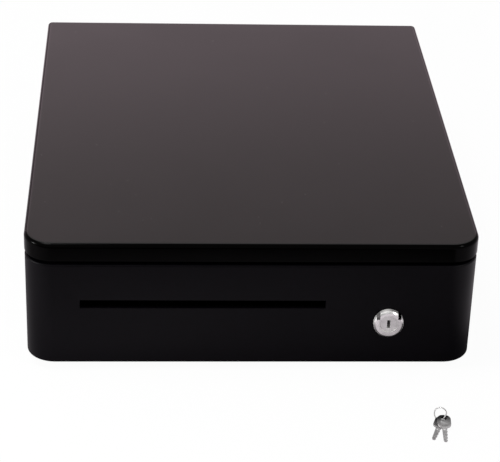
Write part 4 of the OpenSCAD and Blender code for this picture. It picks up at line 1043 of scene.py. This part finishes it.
class DRAWER_OT_keys(bpy.types.Operator):
    """Builds the two keys and the wire loop that holds them"""

    bl_idname = "drawer.keys"
    bl_label = "Keys"

    def execute(self, context):
        s = sizes_mm()
        t, ease, tip = s.key_t, s.key_ease, -s.blade_len
        cuts = tip + CUT_FIRST + CUT_PITCH * np.arange(CUT_COUNT)
        blade = key_blade(s.blade_w, s.tip_w, tip, BLADE_ROOT, t, ease, cuts, CUT_DEEP)
        form = joined([key_head(128, t, ease, **KEY_HEAD), blade])
        for name, (x, y, lift, turn, tilt) in KEY_PLACES.items():
            way = (turn_about("Z", turn) @ turn_about("X", tilt)).T
            piece(name + "_finished", placed(form, (x, y, lift), way), "keys", ["key_nickel"],
                  [name], sharp=40)
        loop = tube(key_loop(), LOOP_WIRE_R, WIRE_SIDES, (0.2, 0.3, 1.0), closed=True)
        piece("key_ring_wire", loop, "keys", ["ring_nickel"], ["key_ring"])
        return {"FINISHED"}


class DRAWER_OT_screws(bpy.types.Operator):
    """Builds screws with cross recesses: in the cover, behind the front, in the bracket and on the cam"""

    bl_idname = "drawer.screws"
    bl_label = "Screws"

    def execute(self, context):
        recess = sizes_mm().recess

        def group(name, node, form, places, body):
            """Like screws as one piece, each set at its place."""
            shells = [placed(form, origin, axes) for origin, axes in places]
            piece(name, joined(shells), body, ["zinc"], [node])

        flush = screw_head(r=3.6, head=0.1, dome=0.05, shank=1.8, deep=6.0, recess=recess, flat=True)
        group("cover_screw_heads", "cover_screws", flush, cover_screw_places(), "housing")
        seat = box_mm("drawer_box")[0][1] + BOX_SHEET
        pan = screw_head(PAN_HEAD_R, PAN_HEAD_H, PAN_DOME, shank=1.9, deep=13.5, recess=recess)
        places = [((x, seat, z), OUT_BACK) for x, z in FRONT_SCREWS]
        group("front_screw_heads", "front_screws", pan, places, "drawer")
        seat = box_mm("bracket_screws")[1][2] - PAN_HEAD_H
        short = screw_head(PAN_HEAD_R, PAN_HEAD_H, PAN_DOME, shank=2.0, deep=2.7, recess=recess)
        places = [((x, BRACKET_SCREW_Y, seat), OUT_TOP) for x in BRACKET_SCREW_X]
        group("bracket_screw_heads", "bracket_screws", short, places, "housing")
        x, _, z = middle_mm("cam_screw")
        seat = box_mm("cam_screw")[1][1] - CAM_HEAD_H
        cam = screw_head(r=4.0, head=CAM_HEAD_H, dome=0.6, shank=2.0, deep=7.0, recess=recess)
        group("cam_screw_head", "cam_screw", cam, [((x, seat, z), OUT_BACK)], "lock_barrel")
        return {"FINISHED"}


class DRAWER_OT_springs(bpy.types.Operator):
    """Builds the wound springs: two ejectors, the latch spring and one torsion spring at each note clip"""

    bl_idname = "drawer.springs"
    bl_label = "Springs"

    def execute(self, context):
        self.ejectors()
        self.latch()
        self.clips()
        return {"FINISHED"}

    def ejectors(self):
        """Two open coils that lie along y, their end turns wound close."""
        mean, wire_r, turns, close = 7.4, 0.8, 8, 0.055
        for side in ("left", "right"):
            node = "ejector_spring_" + side
            lo, hi = box_mm(node)
            x, _, z = middle_mm(node)
            path = smooth_path(coil(mean, turns, wire_r, hi[1] - lo[1] - wire_r, dead=close), 3)
            shell = placed(tube(path, wire_r, WIRE_SIDES, UP), (x, lo[1], z), ALONG_BACK)
            piece("ejector_coil_" + side, shell, "housing", ["spring_wire"], [node])

    def latch(self):
        """The latch spring: a hook through the lever's tail, a close coil, and a loop over the post."""
        x, y, low, post = LATCH_SPRING_X, LATCH_SPRING_Y, LATCH_TAIL_Z, LATCH_POST_Z
        mean, wire_r, turns, loop_r, side, end = 2.6, 0.4, 12, 2.4, 2.8, 4
        hook = [(0, -3, low), (0, 1.4, low), (0, 2.4, low + 0.4), (0, side, low + 1.4), (0, side, low + 6),
                (0.5, side - 0.2, low + 8.6), (1.4, 1.4, low + 10.2), (2.3, -0.6, low + 11.1)]
        a = np.radians(np.arange(0, 211, 30))
        loop = np.column_stack([loop_r * np.cos(a), 0 * a, post + loop_r * np.sin(a)])
        path = smooth_path(np.vstack([hook, coil(mean, turns, low + 12, post - 8), loop]), 4)
        shell = tube(path + np.array([x, y, 0]), wire_r, WIRE_SIDES, (0.1, 0.7, 0.7))
        obj = piece("latch_coil", shell, None, ["spring_wire"], ["latch_spring"])
        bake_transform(obj)

    def clips(self):
        """A torsion spring by each clip: one leg on the clip's ear, the coil on the pin, one leg at the
        wall."""
        mean, wire_r, turns, x0, x1, leg, out, end = 3.4, 0.5, 4.25, 13.2, 19.4, 11.0, 16.0, 0.6
        ear_leg, wall_leg = [(mean, -leg, x0), (mean, -mean, x0)], [(-mean, mean, x1), (-out, mean, x1)]
        path = smooth_path(np.vstack([ear_leg, coil(mean, turns, x0, x1), wall_leg]), 4)
        way = turn_about("X", -CLIP_LEAN) @ turn_about("Z", 90) @ turn_about("X", 90)
        way = way @ np.diag([-1.0, 1.0, 1.0])
        for i in range(CLIP_COUNT):
            centre = np.array([(i - (CLIP_COUNT - 1) / 2) * CLIP_PITCH, CLIP_PIN_Y, CLIP_PIN_Z])
            shell = tube(path @ way.T + centre, wire_r, WIRE_SIDES, (1.0, 0.15, 0.1))
            obj = piece(f"clip_coil_{i + 1}", shell, None, ["spring_wire"], ["clip_springs"])
            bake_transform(obj)


class DRAWER_OT_solenoid(bpy.types.Operator):
    """Builds the solenoid's wound wire and the lead that feeds it"""

    bl_idname = "drawer.solenoid"
    bl_label = "Solenoid"

    def execute(self, context):
        self.winding()
        self.lead()
        return {"FINISHED"}

    def winding(self):
        """A ring whose outside rises and falls with each turn of the wire, along the size of a sine."""
        lo, hi = box_mm("solenoid_winding")
        x, y, _ = middle_mm("solenoid_winding")
        r, wire = (hi[0] - lo[0]) / 2, WINDING_WIRE
        z = np.linspace(lo[2], hi[2], int((hi[2] - lo[2]) / wire) * 6 + 1)
        ridge = r - wire / 2 + wire / 2 * np.abs(np.sin(np.pi * (z - lo[2]) / wire))
        bore = WINDING_BORE_R
        section = np.vstack([[(bore, lo[2])], np.column_stack([ridge, z]), [(bore, hi[2])]])
        piece("wound_wire", placed(turned(section, 72, ring=True), (x, y, 0), OUT_TOP), "housing",
              ["copper_wire"], ["solenoid_winding"], sharp=60)

    def lead(self):
        """A soft wire along a smooth curve through its points, wholly inside the housing."""
        path = smooth_path(LEAD_POINTS, 10)
        shell = tube(path, LEAD_R, LEAD_SIDES, (0.01, 0.02, 1.0))
        obj = piece("control_lead", shell, "housing", ["jacket"], ["solenoid_lead"])


class DRAWER_OT_cups(bpy.types.Operator):
    """Builds the coin cups, scooped at both ends and rounded along the rim"""

    bl_idname = "drawer.cups"
    bl_label = "Coin cups"

    def execute(self, context):
        s = sizes_mm()
        lo, hi = box_mm("coin_cups")
        _, depth, h = hi - lo
        w = (hi[0] - lo[0] - (CUP_COUNT - 1) * CUP_GAP) / CUP_COUNT
        shells = [coin_cup(lo[0] + i * (w + CUP_GAP), lo[1], lo[2], w, depth, h, s.cup_wall,
                           s.cup_scoop, s.cup_fillet) for i in range(CUP_COUNT)]
        piece("coin_scoops", joined(shells), "drawer", ["grey_plastic"], ["coin_cups"])
        return {"FINISHED"}


class DRAWER_OT_housing(bpy.types.Operator):
    """Finishes the pan, the back, the feet and the cable socket"""

    bl_idname = "drawer.housing"
    bl_label = "Housing"

    def execute(self, context):
        finish_nodes("pan_coat", "base_pan", "rear_panel")
        finish_nodes("foot_rubber", "feet")
        finish_nodes("black_plastic", "cable_socket")
        return {"FINISHED"}


class DRAWER_OT_rolling(bpy.types.Operator):
    """Finishes the drawer box, rails, runners, rollers, their pins and the ejectors' posts"""

    bl_idname = "drawer.rolling"
    bl_label = "Rolling gear"

    def execute(self, context):
        finish_nodes("zinc", "drawer_box", "left_rail", "right_rail", "left_runner", "right_runner",
                     "rail_rivets", "front_roller_pins", "rear_roller_pins", "latch_striker")
        finish_nodes("nylon", "front_roller_left", "front_roller_right", "rear_roller_left",
                     "rear_roller_right", "ejector_posts")
        return {"FINISHED"}


class DRAWER_OT_till(bpy.types.Operator):
    """Finishes the till tray, its dividers, note clips and chute"""

    bl_idname = "drawer.till"
    bl_label = "Till"

    def execute(self, context):
        finish_nodes("black_plastic", "till_tray", *[f"note_clip_{i + 1}" for i in range(CLIP_COUNT)])
        # The chute is painted near black, as shade inside the slot.
        finish_nodes("liner", "media_chute")
        finish_nodes("grey_plastic", "divider_left", "divider_middle", "divider_right")
        finish_nodes("zinc", "clip_pins")
        return {"FINISHED"}


class DRAWER_OT_latch(bpy.types.Operator):
    """Finishes the latch: bracket, lever, solenoid and switch"""

    bl_idname = "drawer.latch"
    bl_label = "Latch"

    def execute(self, context):
        finish_nodes("zinc", "latch_bracket", "latch_pin", "latch_lever", "solenoid_frame",
                     "solenoid_plunger", "link_pin")
        finish_nodes("nylon", "solenoid_bobbin")
        finish_nodes("black_plastic", "switch_body")
        finish_nodes("red_button", "switch_button")
        return {"FINISHED"}


def floor_material(settings):
    """A pale matt floor that keeps the shadow, white to the camera and clear from below. Gloss finds a graded
    light: on the backdrop by height, and on the floor before the drawer by place."""
    material = bpy.data.materials.new("floor")
    material.use_nodes = True
    tree = Tree(material.node_tree)
    grain = tree.noise(tree.add("TexCoord").outputs["Object"], 40.0)
    tone = tree.blend(grain, rgba(settings.floor, 0.99), rgba(settings.floor, 1.01))
    matte = tree.add("BsdfDiffuse", {"Color": tone})
    across, along, up = tree.add("SeparateXYZ", {0: tree.add("TexCoord").outputs["Object"]}).outputs
    low, mid, high = (rgba(c) for c in (settings.low_glow, settings.mid_glow, settings.high_glow))
    glow = tree.blend(tree.spread(up, *LOW_TO_MIDDLE), low, mid)
    glow = tree.blend(tree.spread(up, *MIDDLE_TO_HIGH), glow, high)
    glow = tree.scaled(glow, settings.glow)
    glow = tree.scaled(glow, tree.spread(across, *WALL_ACROSS))
    ray = tree.add("LightPath").outputs
    # Painted reflection for gloss: the floor's glow dims towards the drawer as a painted shadow.
    near = tree.math("MULTIPLY", tree.spread(across, *NEAR_ACROSS), tree.spread(along, *NEAR_SHADOW_ALONG))
    near = tree.math("MULTIPLY", near, tree.spread(along, *NEAR_FROM))
    near = tree.math("ADD", near, tree.spread(across, *NEAR_RIGHT))
    near = tree.scaled(rgba(settings.near_glow)[:3], tree.math("MINIMUM", near, 1.0))
    given = tree.blend(tree.math("LESS_THAN", along, WALL_FROM), glow, near)
    shown = tree.blend(ray["Is Camera Ray"], given, WHITE)
    white = tree.add("Emission", {"Color": shown, "Strength": 1.0})
    seen = tree.math("MAXIMUM", ray["Is Camera Ray"], ray["Is Glossy Ray"])
    seen = tree.math("MAXIMUM", seen, ray["Is Transmission Ray"])
    share = tree.math("MULTIPLY", seen, WHITE_SHARE)
    mix = tree.add("MixShader", {0: share, 1: matte.outputs[0], 2: white.outputs[0]})
    under, clear = tree.add("NewGeometry").outputs["Backfacing"], tree.add("BsdfTransparent").outputs[0]
    mix = tree.add("MixShader", {0: under, 1: mix.outputs[0], 2: clear})
    tree.add("OutputMaterial", {"Surface": mix.outputs[0]})
    return material


class DRAWER_OT_stage(bpy.types.Operator):
    """Sets the floor and backdrop, the lamps, the sky and the camera"""

    bl_idname = "drawer.stage"
    bl_label = "Stage"

    def execute(self, context):
        scene, settings = context.scene, context.scene.drawer_stage
        scene.view_settings.view_transform = "Standard"
        self.floor(scene, settings)
        self.sky(scene, settings)
        for name, (place, size) in LAMPS.items():
            self.lamp(scene, name + "_lamp", getattr(settings, name + "_power"), place, size)
        self.camera(scene, settings)
        return {"FINISHED"}

    def floor(self, scene, settings):
        """A sheet that runs flat along y, bends up through a quarter circle and rises behind."""
        bend = arc((BEND_Y, BEND_R), BEND_R, 270, 360, 17)
        y, z = np.vstack([[(-FLOOR_HALF, 0.0)], bend, [(BEND_Y + BEND_R, WALL_TOP)]]).T
        x = np.array([-FLOOR_HALF, FLOOR_HALF])
        verts = np.stack(np.broadcast_arrays(x, y[:, None], z[:, None]), -1).reshape(-1, 3)
        mesh = bpy.data.meshes.new("floor")
        mesh.from_pydata(verts.tolist(), [], grid_faces(len(y), 2).tolist())
        obj = bpy.data.objects.new("floor", mesh)
        scene.collection.objects.link(obj)
        shade(mesh, 60)
        mesh.materials.append(floor_material(settings))

    def sky(self, scene, settings):
        """A plain sky, white to the camera and through glass, with a strength of its own in gloss."""
        scene.world = bpy.data.worlds.new("sky")
        scene.world.use_nodes = True
        tree = Tree(scene.world.node_tree)
        ray = tree.add("LightPath").outputs
        seen = tree.math("MAXIMUM", ray["Is Camera Ray"], ray["Is Transmission Ray"])
        plain = tree.spread(seen, settings.sky, 1.0)
        strength = tree.spread(ray["Is Glossy Ray"], plain, settings.gloss_sky)
        sky = tree.add("Background", {"Color": WHITE, "Strength": strength})
        tree.add("OutputWorld", {"Surface": sky.outputs[0]})

    def lamp(self, scene, name, power, place, size):
        """A rectangular lamp that faces the middle of the floor."""
        lamp = bpy.data.lights.new(name, "AREA")
        lamp.shape, lamp.size, lamp.size_y, lamp.energy = "RECTANGLE", *size, power
        obj = bpy.data.objects.new(name, lamp)
        scene.collection.objects.link(obj)
        towards = (-Vector(place)).to_track_quat("-Z", "Y").to_matrix().to_4x4()
        obj.matrix_world = Matrix.Translation(place) @ towards

    def camera(self, scene, settings):
        """The photo's angle: a level view along y, turned by the yaw, then pitched down, then rolled a
        little."""
        yaw, pitch, roll = CAMERA_TURNS
        view = turn_about("Z", roll) @ turn_about("X", pitch) @ ALONG_BACK @ turn_about("Z", yaw)
        pose = np.eye(4)
        pose[:3, :3] = np.column_stack([view[0], -view[1], -view[2]])
        pose[:3, 3] = CAMERA_PLACE
        camera = bpy.data.cameras.new("camera")
        camera.sensor_fit, camera.sensor_width, camera.lens = "HORIZONTAL", SENSOR_WIDTH, settings.lens
        camera.clip_start, camera.clip_end = 0.01, 50.0
        obj = bpy.data.objects.new("camera", camera)
        obj.matrix_world = Matrix(pose.tolist())
        scene.collection.objects.link(obj)
        scene.camera = obj


OPERATORS = (DRAWER_OT_cover, DRAWER_OT_front, DRAWER_OT_lock, DRAWER_OT_keys, DRAWER_OT_screws,
             DRAWER_OT_springs, DRAWER_OT_solenoid, DRAWER_OT_cups, DRAWER_OT_housing, DRAWER_OT_rolling,
             DRAWER_OT_till, DRAWER_OT_latch, DRAWER_OT_stage)


class DRAWER_PT_pieces(bpy.types.Panel):
    """Lists what can be built."""

    bl_idname = "DRAWER_PT_pieces"
    bl_label = "Cash Drawer"
    bl_space_type = "VIEW_3D"
    bl_region_type = "UI"
    bl_category = "Cash Drawer"

    def draw(self, context):
        """One button for each operator."""
        for kind in OPERATORS:
            self.layout.operator(kind.bl_idname)


GROUPS = {"drawer_colours": DrawerColours, "drawer_sizes": DrawerSizes, "drawer_stage": StageSettings}
CLASSES = (*GROUPS.values(), *OPERATORS, DRAWER_PT_pieces)


def register():
    """Makes the classes and settings known."""
    for kind in CLASSES:
        bpy.utils.register_class(kind)
    for name, kind in GROUPS.items():
        setattr(bpy.types.Scene, name, PointerProperty(type=kind))


def unregister():
    """Takes them away again."""
    for name in GROUPS:
        delattr(bpy.types.Scene, name)
    for kind in reversed(CLASSES):
        bpy.utils.unregister_class(kind)


def main():
    """Runs every operator in order."""
    register()
    for kind in OPERATORS:
        made = getattr(bpy.ops.drawer, kind.bl_idname.split(".")[1])()
        if made != {"FINISHED"}:
            raise RuntimeError(f"{kind.bl_label} did not finish")


if __name__ == "__main__":
    main()
